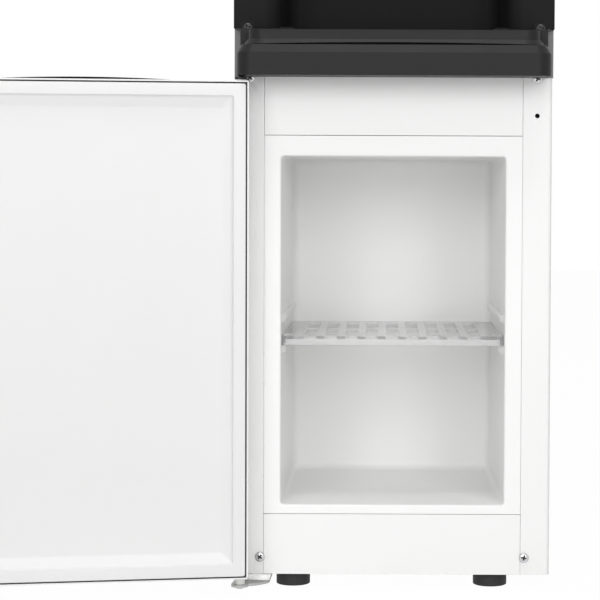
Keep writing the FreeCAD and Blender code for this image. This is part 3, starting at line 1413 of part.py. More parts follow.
# ---------------------------------------------------------------- taps
def tap_body(x, with_lock):
    """Tap that hangs from the niche's roof: valve barrel, spout, lever ears and inlet."""
    z0 = Z_NICHE - TAP_LENGTH
    z_spout = z0 - SPOUT_LENGTH
    inlet = HEAD_FLOOR + STUB_LENGTH
    profile = [
        (0, z0),
        (SPOUT_BORE, z0),
        (SPOUT_BORE, z_spout),
        (SPOUT_RADIUS, z_spout),
        (TAP_RADIUS, z0 + TAP_SHOULDER),
        (TAP_RADIUS, Z_NICHE),
        (0, Z_NICHE),
    ]
    stub = peg(TAP_RADIUS / 2, inlet, V(x, TAP_Y, Z_NICHE))
    body = faceted(profile, V(x, TAP_Y, 0), TANK_SIDES).fuse(stub)
    gap = TAP_EAR_GAP / 2
    reach = LEVER_HUB + 1
    solids = []
    for side in (-1, 1):
        a, b = sorted((side * gap, side * (gap + TAP_EAR)))
        ear = slab(x + a, x + b, TAP_Y, PIVOT_Y, Z_PIVOT - reach, Z_NICHE)
        eye = peg(reach, TAP_EAR, V(x + a, PIVOT_Y, Z_PIVOT), V(1, 0, 0), FINE_SIDES)
        brace = slab(x + a, x + b, TAP_Y, PIVOT_Y + reach, Z_PIVOT, Z_NICHE)
        solids += [ear, eye, brace]
    body = body.fuse(solids)
    hub_room = slab(
        x - gap, x + gap, PIVOT_Y - LEVER_HUB - 2, PIVOT_Y + 2 * reach, z_spout, Z_PIVOT + reach + 2
    )
    pin = peg(LEVER_PIN_RADIUS, 4 * gap, V(x - 2 * gap, PIVOT_Y, Z_PIVOT), V(1, 0, 0), FINE_SIDES)
    body = body.cut([hub_room, pin])
    if with_lock:
        block, slot = lock_block(x)
        body = body.fuse(block).cut(slot)
    return body.removeSplitter()


def lock_place():
    """Height of the lock button's lower edge and the y of the face it slides on."""
    return Z_NICHE - LEVER_DROP - LOCK_HEIGHT / 2, TAP_Y - TAP_RADIUS - LOCK_PAD


def lock_block(x):
    """Flat pad on the front of the hot tap and the slot that guides the lock button."""
    z0, y0 = lock_place()
    half = LOCK_WIDTH / 2 + LOCK_PAD_SIDE
    low, high = z0 - LOCK_TRAVEL - LOCK_PAD_END, z0 + LOCK_HEIGHT + LOCK_PAD_END
    block = slab(x - half, x + half, y0, TAP_Y, low, high)
    tenon = LOCK_WIDTH / 4 + LOCK_SLOT_GAP
    slot = slab(
        x - tenon,
        x + tenon,
        y0 - CUT,
        y0 + LOCK_PROUD,
        z0 + LOCK_HEIGHT / 4 - LOCK_TRAVEL - LOCK_SLOT_GAP,
        z0 + LOCK_HEIGHT * 0.75 + LOCK_SLOT_GAP,
    )
    return block, slot


def hot_lock_button():
    """Child lock: a ribbed button that is pushed down before the hot lever gives water."""
    x = tap_places()[0]
    z0, y0 = lock_place()
    w = LOCK_WIDTH / 2
    cap = front_slab(x - w, x + w, z0, z0 + LOCK_HEIGHT, y0 - LOCK_PROUD, y0, LOCK_CORNER)
    tenon = slab(
        x - w / 2,
        x + w / 2,
        y0 - EPS,
        y0 + LOCK_PROUD - LOCK_SLOT_GAP,
        z0 + LOCK_HEIGHT / 4,
        z0 + LOCK_HEIGHT * 0.75,
    )
    grooves = []
    half, depth = LOCK_GROOVE[0] / 2, LOCK_GROOVE[1]
    face = y0 - LOCK_PROUD
    for i in (1, 2, 3):
        z = z0 + i * LOCK_HEIGHT / 4
        grooves.append(slab(x - w - CUT, x + w + CUT, face - CUT, face + depth, z - half, z + half))
    return cap.fuse(tenon).cut(grooves)


def tap_lever(x):
    """Paddle behind the spout, which a cup presses back."""
    hub_half = TAP_EAR_GAP / 2 - LEVER_SIDE_GAP
    hub = rod(LEVER_HUB, 2 * hub_half, V(x - hub_half, PIVOT_Y, Z_PIVOT), V(1, 0, 0))
    half = LEVER_WIDTH / 2
    z_end = Z_PIVOT - LEVER_LENGTH
    neck_end = Z_PIVOT - LEVER_NECK
    shoulder = Z_PIVOT - LEVER_SHOULDER
    front = [
        (V(x - hub_half, Z_PIVOT, 0), 0),
        (V(x - hub_half, neck_end, 0), LEVER_NECK_RADIUS),
        (V(x - half, shoulder, 0), LEVER_NECK_RADIUS),
        (V(x - half, z_end, 0), LEVER_TIP_RADIUS),
        (V(x + half, z_end, 0), LEVER_TIP_RADIUS),
        (V(x + half, shoulder, 0), LEVER_NECK_RADIUS),
        (V(x + hub_half, neck_end, 0), LEVER_NECK_RADIUS),
        (V(x + hub_half, Z_PIVOT, 0), 0),
    ]
    face = Part.Face(rounded_wire([p for p, _ in front], [r for _, r in front]))
    face.rotate(V(0, 0, 0), V(1, 0, 0), 90)
    face.translate(V(0, PIVOT_Y - 3 * LEVER_HUB, 0))
    paddle = face.extrude(V(0, 6 * LEVER_HUB, 0))
    t = LEVER_THICKNESS
    side = [
        (V(PIVOT_Y - t / 2, Z_PIVOT, 0), 0),
        (V(PIVOT_Y - t / 2, shoulder, 0), LEVER_KINK_RADIUS),
        (V(PIVOT_Y - t / 2 - LEVER_KINK, z_end - CUT, 0), 0),
        (V(PIVOT_Y + t / 2 - LEVER_KINK, z_end - CUT, 0), 0),
        (V(PIVOT_Y + t / 2, shoulder, 0), LEVER_KINK_RADIUS),
        (V(PIVOT_Y + t / 2, Z_PIVOT, 0), 0),
    ]
    section = Part.Face(rounded_wire([p for p, _ in side], [r for _, r in side]))
    section.Placement = FreeCAD.Placement(
        V(x - LEVER_WIDTH, 0, 0), FreeCAD.Rotation(V(0, 1, 0), V(0, 0, 1), V(1, 0, 0), "ZXY")
    )
    strip = section.extrude(V(2 * LEVER_WIDTH, 0, 0))
    radius = LEVER_PIN_RADIUS + 2 * HOLE_CLEARANCE
    bore = peg(radius, 4 * hub_half, V(x - 2 * hub_half, PIVOT_Y, Z_PIVOT), V(1, 0, 0), FINE_SIDES)
    return hub.fuse(paddle.common(strip)).cut(bore).removeSplitter()


def lever_pins():
    """Two steel pins that the levers turn on."""
    length = TAP_EAR_GAP + 2 * TAP_EAR
    return Part.makeCompound(
        [
            peg(LEVER_PIN_RADIUS, length, V(x - length / 2, PIVOT_Y, Z_PIVOT), V(1, 0, 0), FINE_SIDES)
            for x in tap_places()
        ]
    )


# ---------------------------------------------------------------- tanks and hoses
def deck(z, y1):
    """Folded steel shelf between the side panels."""
    y0 = NICHE_Y + FASCIA_WALL + 2 * (HOSE_RADIUS + HOSE_SPARE)
    plate = slab(-INNER_HALF_W, INNER_HALF_W, y0, y1, z - BASE_RIM, z)
    under = slab(
        -INNER_HALF_W + DECK_SHEET,
        INNER_HALF_W - DECK_SHEET,
        y0 - CUT,
        y1 + CUT,
        z - BASE_RIM - CUT,
        z - DECK_SHEET,
    )
    return plate.cut(under)


def cold_tank():
    """Stainless tank under the bottle, open at the top for the probe."""
    z0 = Z_UPPER_DECK + INSULATION_WALL
    z1 = z0 + TANK_HEIGHT
    r, t = TANK_RADIUS, TANK_WALL
    neck = PROBE_RADIUS + PROBE_FLANGE
    profile = [
        (0, z0),
        (r, z0),
        (r, z1),
        (neck, z1),
        (neck, z1 - t),
        (r - t, z1 - t),
        (r - t, z0 + t),
        (0, z0 + t),
    ]
    return faceted(profile, V(0, SEAT_Y, 0), TANK_SIDES).fuse(cold_stub())


def cold_stub():
    """The cold tank's side outlet, which reaches out past the insulation."""
    x = tap_places()[1]
    z = Z_UPPER_DECK + 2 * INSULATION_WALL
    wall_y = SEAT_Y - math.sqrt(TANK_RADIUS**2 - x**2)
    start = V(x, wall_y + 3 * TANK_WALL, z)
    return peg(HOSE_RADIUS, start.y - cold_stub_end(), start, FORWARD, SWEEP_SIDES)


def cold_stub_end():
    """Depth at which the cold tank's outlet meets its hose."""
    x = tap_places()[1]
    return SEAT_Y - math.sqrt((TANK_RADIUS + INSULATION_WALL) ** 2 - x**2) - HOSE_RADIUS


def tank_insulation():
    """Foam cup round the cold tank."""
    z0 = Z_UPPER_DECK
    z1 = z0 + INSULATION_WALL + TANK_HEIGHT
    r_in = TANK_RADIUS + HOLE_CLEARANCE
    r_out = TANK_RADIUS + INSULATION_WALL
    profile = [
        (0, z0),
        (r_out, z0),
        (r_out, z1),
        (r_in, z1),
        (r_in, z0 + INSULATION_WALL),
        (0, z0 + INSULATION_WALL),
    ]
    x = tap_places()[1]
    start = V(x, SEAT_Y, z0 + 2 * INSULATION_WALL)
    hole = peg(HOSE_RADIUS + HOLE_CLEARANCE, 2 * r_out, start, FORWARD, SWEEP_SIDES)
    return faceted(profile, V(0, SEAT_Y, 0), TANK_SIDES).cut(hole)


def insulation_lid():
    """Foam lid on the cold tank, with the hole over its neck."""
    z0 = Z_UPPER_DECK + INSULATION_WALL + TANK_HEIGHT
    z1 = z0 + INSULATION_WALL
    r_in = PROBE_RADIUS + PROBE_FLANGE
    r_out = TANK_RADIUS + INSULATION_WALL
    profile = [(r_in, z0), (r_out, z0), (r_out, z1), (r_in, z1)]
    return faceted(profile, V(0, SEAT_Y, 0), TANK_SIDES)


def hot_tank():
    """Closed steel heating tank on three legs, with its outlet on top and drain stub behind."""
    x = tap_places()[0]
    z0 = Z_LOWER_DECK + HOT_LEG
    z1 = z0 + HOT_HEIGHT
    r = HOT_RADIUS
    dome = HOT_DOME
    profile = [
        (0, z0),
        (r - dome, z0),
        (r, z0 + dome),
        (r, z1 - dome),
        (r - dome, z1),
        (0, z1),
    ]
    centre = V(x, HOT_CENTRE_Y, 0)
    outlet = peg(HOSE_RADIUS, STUB_LENGTH, centre + UP * z1, sides=SWEEP_SIDES)
    stub_start = V(x, HOT_CENTRE_Y + r - dome, z0 + 2 * dome)
    stub = peg(HOSE_RADIUS, STUB_LENGTH + dome, stub_start, BACKWARD, SWEEP_SIDES)
    legs = []
    reach = r - 2 * dome
    for angle in (90, 210, 330):
        a = math.radians(angle)
        spot = V(x + reach * math.cos(a), HOT_CENTRE_Y + reach * math.sin(a), Z_LOWER_DECK)
        legs.append(peg(HOSE_RADIUS, HOT_LEG + TANK_WALL, spot))
    return faceted(profile, centre, TANK_SIDES).fuse(legs + [outlet, stub])


def hose(points):
    """Flexible hose along a route of straight runs and equal bends."""
    return piped(eased_line(points, HOSE_BEND), HOSE_RADIUS)


def hose_column_y():
    """Depth at which the hoses run down behind the niche's back wall."""
    return NICHE_Y + FASCIA_WALL + HOSE_SPARE + HOSE_RADIUS


def cold_hose():
    """From the cold tank's side outlet up and over to the cold tap."""
    x = tap_places()[1]
    inlet = Z_NICHE + HEAD_FLOOR + STUB_LENGTH
    y = hose_column_y()
    z_end = Z_UPPER_DECK + 2 * INSULATION_WALL
    top = inlet + HOSE_RISE
    end = V(x, cold_stub_end(), z_end)
    return hose([V(x, TAP_Y, inlet), V(x, TAP_Y, top), V(x, y, top), V(x, y, z_end), end])


def hot_hose():
    """From the hot tank's outlet forward and up to the hot tap."""
    x = tap_places()[0]
    inlet = Z_NICHE + HEAD_FLOOR + STUB_LENGTH
    top = inlet + HOSE_RISE
    y = hose_column_y()
    z_tank = Z_LOWER_DECK + HOT_LEG + HOT_HEIGHT + STUB_LENGTH
    low = z_tank + 1.5 * HOSE_BEND
    return hose(
        [
            V(x, TAP_Y, inlet),
            V(x, TAP_Y, top),
            V(x, y, top),
            V(x, y, low),
            V(x, HOT_CENTRE_Y, low),
            V(x, HOT_CENTRE_Y, z_tank),
        ]
    )


def drain_hose():
    """From the hot tank's drain stub down to the rear outlet."""
    x = tap_places()[0]
    y0 = HOT_CENTRE_Y + HOT_RADIUS + STUB_LENGTH
    y1 = y0 + 1.6 * HOSE_BEND
    z0 = Z_LOWER_DECK + HOT_LEG + 2 * HOT_DOME
    z1 = Z_BASE + DRAIN_HEIGHT
    end = REAR_Y + BACK_SHEET - DRAIN_LENGTH
    back = min(y1, end - 1.2 * HOSE_BEND)
    return hose(
        [
            V(x, y0, z0),
            V(x, y1, z0),
            V(DRAIN_X, y1, z0),
            V(DRAIN_X, back, z1),
            V(DRAIN_X, end, z1),
        ]
    )


# ---------------------------------------------------------------- cooling circuit
def mount_places():
    """Plan places of the compressor's four rubber mounts."""
    half = COMPRESSOR_FOOT_SPACING / 2
    row = COMPRESSOR_FOOT_ROW / 2
    return [
        V(COMPRESSOR_X + i * half, COMPRESSOR_Y + j * row, 0) for i in (-1, 1) for j in (-1, 1)
    ]


def compressor():
    """Hermetic compressor: two welded domes on a foot plate, with its stub and terminal box."""
    z0 = Z_FLOOR + MOUNT_HEIGHT
    t = COMPRESSOR_FOOT_THICKNESS
    r, h = COMPRESSOR_RADIUS, COMPRESSOR_HEIGHT
    dome = COMPRESSOR_DOME
    middle = COMPRESSOR_SEAM_HEIGHT
    seam = COMPRESSOR_SEAM
    profile = [
        (0, 0),
        (r - dome, 0),
        (r, dome),
        (r, middle),
        (r + seam, middle),
        (r + seam, middle + seam),
        (r, middle + seam),
        (r, h - dome),
        (r - dome, h),
        (0, h),
    ]
    body = faceted(profile, V(COMPRESSOR_X, COMPRESSOR_Y, z0 + t), TANK_SIDES)
    margin = MOUNT_RADIUS
    half = COMPRESSOR_FOOT_SPACING / 2 + margin
    row = COMPRESSOR_FOOT_ROW / 2 + margin
    plate = slab(
        COMPRESSOR_X - half,
        COMPRESSOR_X + half,
        COMPRESSOR_Y - row,
        COMPRESSOR_Y + row,
        z0,
        z0 + t,
    )
    stub = peg(DISCHARGE_TUBE, STUB_LENGTH, V(COMPRESSOR_X, COMPRESSOR_Y, z0 + t + h - CUT))
    reach, width, height = TERMINAL_BOX
    z_box = z0 + t + TERMINAL_BOX_RISE
    box = slab(
        COMPRESSOR_X - r - reach,
        COMPRESSOR_X - r + dome,
        COMPRESSOR_Y - width / 2,
        COMPRESSOR_Y + width / 2,
        z_box,
        z_box + height,
    )
    return body.fuse([plate, stub, box])


def compressor_mounts():
    """Rubber blocks between the base pan and the compressor's foot plate."""
    blocks = [
        peg(MOUNT_RADIUS, MOUNT_HEIGHT, p + UP * Z_FLOOR, sides=FINE_SIDES) for p in mount_places()
    ]
    return Part.makeCompound(blocks)


def condenser_y():
    """Depth of the condenser's tube plane behind the casing."""
    return REAR_Y + BACK_SHEET + CONDENSER_STANDOFF


def condenser_z(run):
    """Height of one of the condenser's horizontal runs."""
    return Z_BACK_PANEL + CONDENSER_FOOT_GAP + run * CONDENSER_PITCH


def condenser_side(run):
    """Side (+1 or -1) on which a run starts."""
    return 1 if run % 2 == 0 else -1


def condenser_tube():
    """Serpentine tube behind the casing, both ends turned in through the back panel."""
    x = CONDENSER_WIDTH / 2
    y = condenser_y()
    tail = CONDENSER_STANDOFF + CONDENSER_TAIL
    points = [V(condenser_side(0) * x, y - tail, condenser_z(0))]
    for run in range(CONDENSER_RUNS):
        side = condenser_side(run)
        points.append(V(side * x, y, condenser_z(run)))
        points.append(V(-side * x, y, condenser_z(run)))
    points.append(V(points[-1].x, y - tail, points[-1].z))
    return piped(eased_line(points, CONDENSER_BEND, CONDENSER_TAIL_BEND), CONDENSER_TUBE, 4)


def wire_x(i):
    """Place across the condenser of one upright wire."""
    return (2 * i / (CONDENSER_WIRES - 1) - 1) * (CONDENSER_WIDTH / 2 - CONDENSER_WIRE_SIDE)


def condenser_wires():
    """Upright wires welded across the serpentine, alternately behind and in front of it."""
    wires = []
    z0 = condenser_z(0) - CONDENSER_WIRE_END
    z1 = condenser_z(CONDENSER_RUNS - 1) + CONDENSER_WIRE_END
    for i in range(CONDENSER_WIRES):
        x = wire_x(i)
        side = 1 if i % 2 == 0 else -1
        y = condenser_y() + side * (CONDENSER_TUBE + CONDENSER_WIRE)
        bar = slab(x - CONDENSER_WIRE, x + CONDENSER_WIRE, y - CONDENSER_WIRE, y + CONDENSER_WIRE, z0, z1)
        wires.append(bar)
    return Part.makeCompound(wires)


def condenser_brackets():
    """Four folded tabs that hold the serpentine off the back panel."""
    tabs = []
    y0 = REAR_Y + BACK_SHEET
    y1 = condenser_y() - CONDENSER_TUBE
    x = (wire_x(CONDENSER_WIRES - 2) + wire_x(CONDENSER_WIRES - 3)) / 2 - BRACKET_WIDTH / 2
    for run in (1, CONDENSER_RUNS - 2):
        z = condenser_z(run)
        half = CONDENSER_TUBE
        for side in (-1, 1):
            a, b = sorted((side * x, side * (x + BRACKET_WIDTH)))
            foot_tab = slab(a, b, y0, y0 + DECK_SHEET, z - 3 * half, z + 3 * half)
            arm = slab(a, b, y0, y1, z - half / 2, z + half / 2)
            tabs.append(foot_tab.fuse(arm))
    return Part.makeCompound(tabs)


def discharge_pipe():
    """Copper pipe from the compressor to the condenser's lower end."""
    z0 = Z_FLOOR + MOUNT_HEIGHT + COMPRESSOR_FOOT_THICKNESS + COMPRESSOR_HEIGHT + STUB_LENGTH - CUT
    x, z = CONDENSER_WIDTH / 2, condenser_z(0)
    y = condenser_y() - CONDENSER_STANDOFF - CONDENSER_TAIL
    points = [
        V(COMPRESSOR_X, COMPRESSOR_Y, z0),
        V(COMPRESSOR_X, COMPRESSOR_Y, z),
        V(x, COMPRESSOR_Y, z),
        V(x, y, z),
    ]
    return piped(eased_line(points, HOSE_BEND), DISCHARGE_TUBE)


# ---------------------------------------------------------------- rear casing and fittings
def rear_sheet(z0, z1):
    """Flat sheet on the rear flanges with its row of screw holes."""
    x = HALF_W - SEAM
    sheet = slab(-x, x, REAR_Y, REAR_Y + BACK_SHEET, z0, z1)
    rows = [z for z in REAR_SCREW_ROWS if z0 < z < z1]
    holes = [V(side * REAR_SCREW_X, REAR_Y, z) for side in (-1, 1) for z in rows]
    return drilled(sheet, holes, SCREW_HOLE, BACKWARD)


def back_panel():
    """Upper rear sheet, holed for the condenser's ends and the switches."""
    sheet = rear_sheet(Z_BACK_PANEL, Z_TOP)
    last = CONDENSER_RUNS - 1
    x = CONDENSER_WIDTH / 2
    ends = [
        V(condenser_side(0) * x, REAR_Y, condenser_z(0)),
        V(-condenser_side(last) * x, REAR_Y, condenser_z(last)),
    ]
    sheet = drilled(sheet, ends, CONDENSER_TUBE + HOLE_CLEARANCE, BACKWARD)
    return sheet.cut(switch_box())


def compressor_cover():
    """Lower rear sheet with two columns of pressed louvres, the drain and the cord gland."""
    sheet = rear_sheet(Z_BASE, Z_BASE + BACK_COVER_HEIGHT)
    y1 = REAR_Y + BACK_SHEET
    half = LOUVRE_LENGTH / 2
    bulge = LOUVRE_OPENING
    hoods = []
    gaps = []
    middle = Z_BASE + BACK_COVER_HEIGHT / 2 + LOUVRE_LIFT
    for x in (-LOUVRE_SPACING / 2, LOUVRE_SPACING / 2):
        for i in range(LOUVRE_COUNT):
            z = middle + (i - (LOUVRE_COUNT - 1) / 2) * LOUVRE_PITCH
            gaps.append(slab(x - half, x + half, REAR_Y - CUT, y1 + CUT, z, z + bulge))
            profile = [
                V(x - half, y1, z + bulge),
                V(x - half, y1, z + 2 * bulge),
                V(x - half, y1 + bulge, z),
                V(x - half, y1 + bulge - BACK_SHEET, z),
            ]
            face = Part.Face(Part.makePolygon(profile + profile[:1]))
            hoods.append(face.extrude(V(LOUVRE_LENGTH, 0, 0)))
    sheet = sheet.cut(gaps).fuse(hoods)
    drain = V(DRAIN_X, REAR_Y, Z_BASE + DRAIN_HEIGHT)
    gland = V(GLAND_X, REAR_Y, Z_BASE + GLAND_HEIGHT)
    holes = [
        peg(DRAIN_RADIUS, 2 * BACK_SHEET, drain, BACKWARD, FINE_SIDES),
        peg(GLAND_RADIUS, 2 * BACK_SHEET, gland, BACKWARD, FINE_SIDES),
    ]
    return sheet.cut(holes).removeSplitter()


def switch_z():
    """Height of the switches' middle."""
    return Z_TOP - SWITCH_DROP


def rocker_places():
    """X of the cooling switch and of the heating switch."""
    return (SWITCH_X - ROCKER_PITCH / 2, SWITCH_X + ROCKER_PITCH / 2)


def switch_box():
    """Block of the switches' housing, which passes through the back panel."""
    half_w = SWITCH_PLATE_WIDTH / 2 - SWITCH_BEZEL[0]
    half_h = SWITCH_PLATE_HEIGHT / 2 - SWITCH_BEZEL[1]
    return slab(
        SWITCH_X - half_w,
        SWITCH_X + half_w,
        REAR_Y - SWITCH_HOUSING,
        REAR_Y + BACK_SHEET,
        switch_z() - half_h,
        switch_z() + half_h,
    )


def rocker_pivot_y():
    """Depth of the rockers' axis."""
    return REAR_Y + BACK_SHEET


def switch_plate():
    """Bezel and housing of the two rear rocker switches."""
    y1 = REAR_Y + BACK_SHEET
    plate = front_slab(
        SWITCH_X - SWITCH_PLATE_WIDTH / 2,
        SWITCH_X + SWITCH_PLATE_WIDTH / 2,
        switch_z() - SWITCH_PLATE_HEIGHT / 2,
        switch_z() + SWITCH_PLATE_HEIGHT / 2,
        y1,
        y1 + SWITCH_PLATE_DEPTH,
        SWITCH_PLATE_CORNER,
    )
    plate = plate.fuse(switch_box())
    half_w = ROCKER_WIDTH / 2 + ROCKER_GAP
    radius = ROCKER_HEIGHT / 2 + ROCKER_GAP
    for x in rocker_places():
        side = V(x - half_w, rocker_pivot_y(), switch_z())
        well = rod(radius, 2 * half_w, side, V(1, 0, 0))
        pin = peg(ROCKER_PIN_RADIUS, 2 * half_w, side, V(1, 0, 0))
        plate = plate.cut(well).fuse(pin)
    return plate.removeSplitter()


def rocker(x):
    """Rocker with a shallow V face, shown with its lower half out (off)."""
    radius = ROCKER_HEIGHT / 2
    half_w = ROCKER_WIDTH / 2
    y = rocker_pivot_y()
    z = switch_z()
    drum = rod(radius, ROCKER_WIDTH, V(x - half_w, y, z), V(1, 0, 0))
    rise = radius * math.tan(math.radians(ROCKER_TILT))
    y_mid = y + SWITCH_PLATE_DEPTH
    y_low = y - ROCKER_DEPTH
    profile = [
        V(x - half_w, y_low, z - radius),
        V(x - half_w, y_mid + rise, z - radius),
        V(x - half_w, y_mid, z),
        V(x - half_w, y_mid + rise, z + radius),
        V(x - half_w, y_low, z + radius),
    ]
    block = Part.Face(Part.makePolygon(profile + profile[:1])).extrude(V(ROCKER_WIDTH, 0, 0))
    bore = peg(ROCKER_PIN_RADIUS + HOLE_CLEARANCE, ROCKER_WIDTH, V(x - half_w, y, z), V(1, 0, 0))
    part = drum.common(block).cut(bore)
    part.rotate(V(x, y, z), V(1, 0, 0), -ROCKER_TILT)
    return part


def drain_outlet():
    """Flanged drain tube through the compressor cover."""
    y_sheet = REAR_Y + BACK_SHEET
    centre = V(DRAIN_X, y_sheet - DRAIN_LENGTH, Z_BASE + DRAIN_HEIGHT)
    inside = peg(DRAIN_RADIUS, DRAIN_LENGTH, centre, BACKWARD, FINE_SIDES)
    outside = rod(DRAIN_RADIUS, DRAIN_LENGTH, V(DRAIN_X, y_sheet, centre.z), BACKWARD)
    flange = V(DRAIN_X, y_sheet, centre.z)
    collar = peg(CAP_RADIUS, DRAIN_COLLAR, flange, BACKWARD, SWEEP_SIDES)
    bore = peg(HOSE_BORE, 2 * DRAIN_LENGTH, centre, BACKWARD)
    return inside.fuse([outside, collar]).cut(bore)


def drain_cap():
    """Many-sided screw cap on the drain tube."""
    end = REAR_Y + BACK_SHEET + DRAIN_LENGTH
    t = CAP_RADIUS - DRAIN_RADIUS - CAP_CLEARANCE
    base = end + CAP_CLEARANCE + t - CAP_HEIGHT
    centre = V(DRAIN_X, base, Z_BASE + DRAIN_HEIGHT)
    cap = peg(CAP_RADIUS, CAP_HEIGHT, centre, BACKWARD, sides=CAP_GRIPS)
    return cap.cut(rod(DRAIN_RADIUS + CAP_CLEARANCE, CAP_HEIGHT - t, centre, BACKWARD))


def cord_gland():
    """Bare strain-relief bush for the supply cord, with a hexagonal nut face outside."""
    centre = V(GLAND_X, REAR_Y - GLAND_LENGTH / 2, Z_BASE + GLAND_HEIGHT)
    body = peg(GLAND_RADIUS, GLAND_LENGTH, centre, BACKWARD, FINE_SIDES)
    face = V(GLAND_X, REAR_Y + BACK_SHEET, centre.z)
    nut = peg(GLAND_RADIUS + GLAND_LIP, GLAND_LIP, face, BACKWARD, SWEEP_SIDES)
    return body.fuse(nut).cut(rod(GLAND_BORE, GLAND_LENGTH, centre, BACKWARD))


# ---------------------------------------------------------------- screws
def cabinet_screws():
    """Bright cross-head screws through the front flanges, two low and two high."""
    low = pan_screw(LOWER_SCREW, FORWARD)
    high = pan_screw(UPPER_SCREW, FORWARD)
    return Part.makeCompound([low, mirrored(low), high, mirrored(high)])


def fascia_screws():
    """Screws through the fascia's lower bosses."""
    place = V(FASCIA_SCREW_X, FASCIA_Y + FASCIA_BOSS, Z_FASCIA + SEAM)
    return both_sides(pan_screw(place, FORWARD, length=FASCIA_PROUD + SHEET))


def rear_screws():
    """Screws along both rear flanges."""
    y = REAR_Y + BACK_SHEET
    right = [hex_screw(V(REAR_SCREW_X, y, z), BACKWARD) for z in REAR_SCREW_ROWS]
    return Part.makeCompound(right + [mirrored(screw) for screw in right])


# ---------------------------------------------------------------- all pieces
def build():
    """Every piece of the cooler by its name."""
    hot_x, cold_x = tap_places()
    cooling_x, heating_x = rocker_places()
    y_deck = HOT_CENTRE_Y + HOT_RADIUS + HOSE_RADIUS
    pieces = {
        "side_panel_left": left_side_panel(),
        "side_panel_right": side_panel(),
        "base_plate": base_plate(),
        "front_top_panel": front_top_panel(),
        "plinth_panel": plinth_panel(),
        "cabinet_liner": cabinet_liner(),
        "back_panel": back_panel(),
        "compressor_cover": compressor_cover(),
        "lower_deck": deck(Z_LOWER_DECK, y_deck),
        "upper_deck": deck(Z_UPPER_DECK, y_deck),
        "foot_nuts": foot_nuts(),
        "shelf": shelf(),
        "door_outer_shell": swing(door_outer_shell()),
        "door_inner_panel": swing(door_inner_panel()),
        "door_pull": swing(door_pull()),
        "door_magnet": swing(door_magnet()),
        "door_bushes": swing(Part.makeCompound([lower_bush(), upper_bush()])),
        "lower_hinge_plate": lower_hinge_plate(),
        "upper_hinge_plate": upper_hinge_plate(),
        "hinge_pins": Part.makeCompound([lower_hinge_pin(), upper_hinge_pin()]),
        "hinge_screws": hinge_screws(),
        "drip_tray": drip_tray(),
        "tray_holder": tray_holder(),
        "drip_grille": drip_grille(),
        "fascia_niche": fascia_niche(),
        "head_shell": head_shell(),
        "indicator_lenses": indicator_lenses(),
        "tap_plate": tap_plate(),
        "top_cover": top_cover(),
        "bottle_seat": bottle_seat(),
        "feed_probe": feed_probe(),
        "tap_hot_body": tap_body(hot_x, True),
        "tap_cold_body": tap_body(cold_x, False),
        "tap_hot_lever": tap_lever(hot_x),
        "tap_cold_lever": tap_lever(cold_x),
        "hot_lock_button": hot_lock_button(),
        "lever_pins": lever_pins(),
        "cold_tank": cold_tank(),
        "tank_insulation": tank_insulation(),
        "insulation_lid": insulation_lid(),
        "hot_tank": hot_tank(),
        "cold_hose": cold_hose(),
        "hot_hose": hot_hose(),
        "drain_hose": drain_hose(),
        "compressor": compressor(),
        "compressor_mounts": compressor_mounts(),
        "condenser_tube": condenser_tube(),
        "condenser_wires": condenser_wires(),
        "condenser_brackets": condenser_brackets(),
        "discharge_pipe": discharge_pipe(),
        "switch_plate": switch_plate(),
        "switch_cooling": rocker(cooling_x),
        "switch_heating": rocker(heating_x),
        "drain_outlet": drain_outlet(),
        "drain_cap": drain_cap(),
        "cord_gland": cord_gland(),
        "cabinet_screws": cabinet_screws(),
        "fascia_screws": fascia_screws(),
        "rear_screws": rear_screws(),
        "feet": Part.makeCompound([foot(place) for place in foot_places()]),
    }
    return pieces


def main():
    """Build every piece and write one STEP file for each."""
    os.makedirs("parts", exist_ok=True)
    for name, shape in build().items():
        shape.exportStep("parts/" + name + ".step")


main()
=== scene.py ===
"""Free-standing water cooler with a drip tray and taps over a small storage cabinet.

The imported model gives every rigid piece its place. This script dresses it: finer moulded
surfaces where light catches an edge, and a finish for every piece. Metres, the floor at
z = 0, the front towards -Y.
"""

from __future__ import annotations

import json
import logging
import math
from dataclasses import dataclass, field
from enum import Enum
from typing import Iterable, Sequence, Union

import bmesh
import bpy
import numpy as np
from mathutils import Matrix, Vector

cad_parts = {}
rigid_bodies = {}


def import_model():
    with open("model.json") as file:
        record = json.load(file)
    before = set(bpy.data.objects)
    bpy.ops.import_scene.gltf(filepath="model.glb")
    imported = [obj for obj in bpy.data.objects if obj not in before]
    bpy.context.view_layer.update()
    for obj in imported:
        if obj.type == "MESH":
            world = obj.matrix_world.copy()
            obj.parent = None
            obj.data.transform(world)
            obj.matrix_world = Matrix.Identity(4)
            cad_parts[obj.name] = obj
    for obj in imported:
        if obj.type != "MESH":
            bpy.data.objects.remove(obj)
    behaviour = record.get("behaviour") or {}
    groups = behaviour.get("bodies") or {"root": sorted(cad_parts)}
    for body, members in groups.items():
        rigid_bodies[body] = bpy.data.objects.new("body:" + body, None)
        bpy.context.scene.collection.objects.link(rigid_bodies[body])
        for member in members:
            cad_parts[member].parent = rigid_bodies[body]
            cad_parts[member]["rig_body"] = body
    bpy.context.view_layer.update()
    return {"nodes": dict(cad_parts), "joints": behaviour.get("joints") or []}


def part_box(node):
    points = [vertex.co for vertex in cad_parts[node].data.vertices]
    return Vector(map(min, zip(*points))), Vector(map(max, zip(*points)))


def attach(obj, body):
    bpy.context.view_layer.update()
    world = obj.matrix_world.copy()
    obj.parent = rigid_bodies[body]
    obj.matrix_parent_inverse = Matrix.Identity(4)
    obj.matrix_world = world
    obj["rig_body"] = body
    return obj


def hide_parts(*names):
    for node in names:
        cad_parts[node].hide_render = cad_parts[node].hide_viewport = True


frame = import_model()

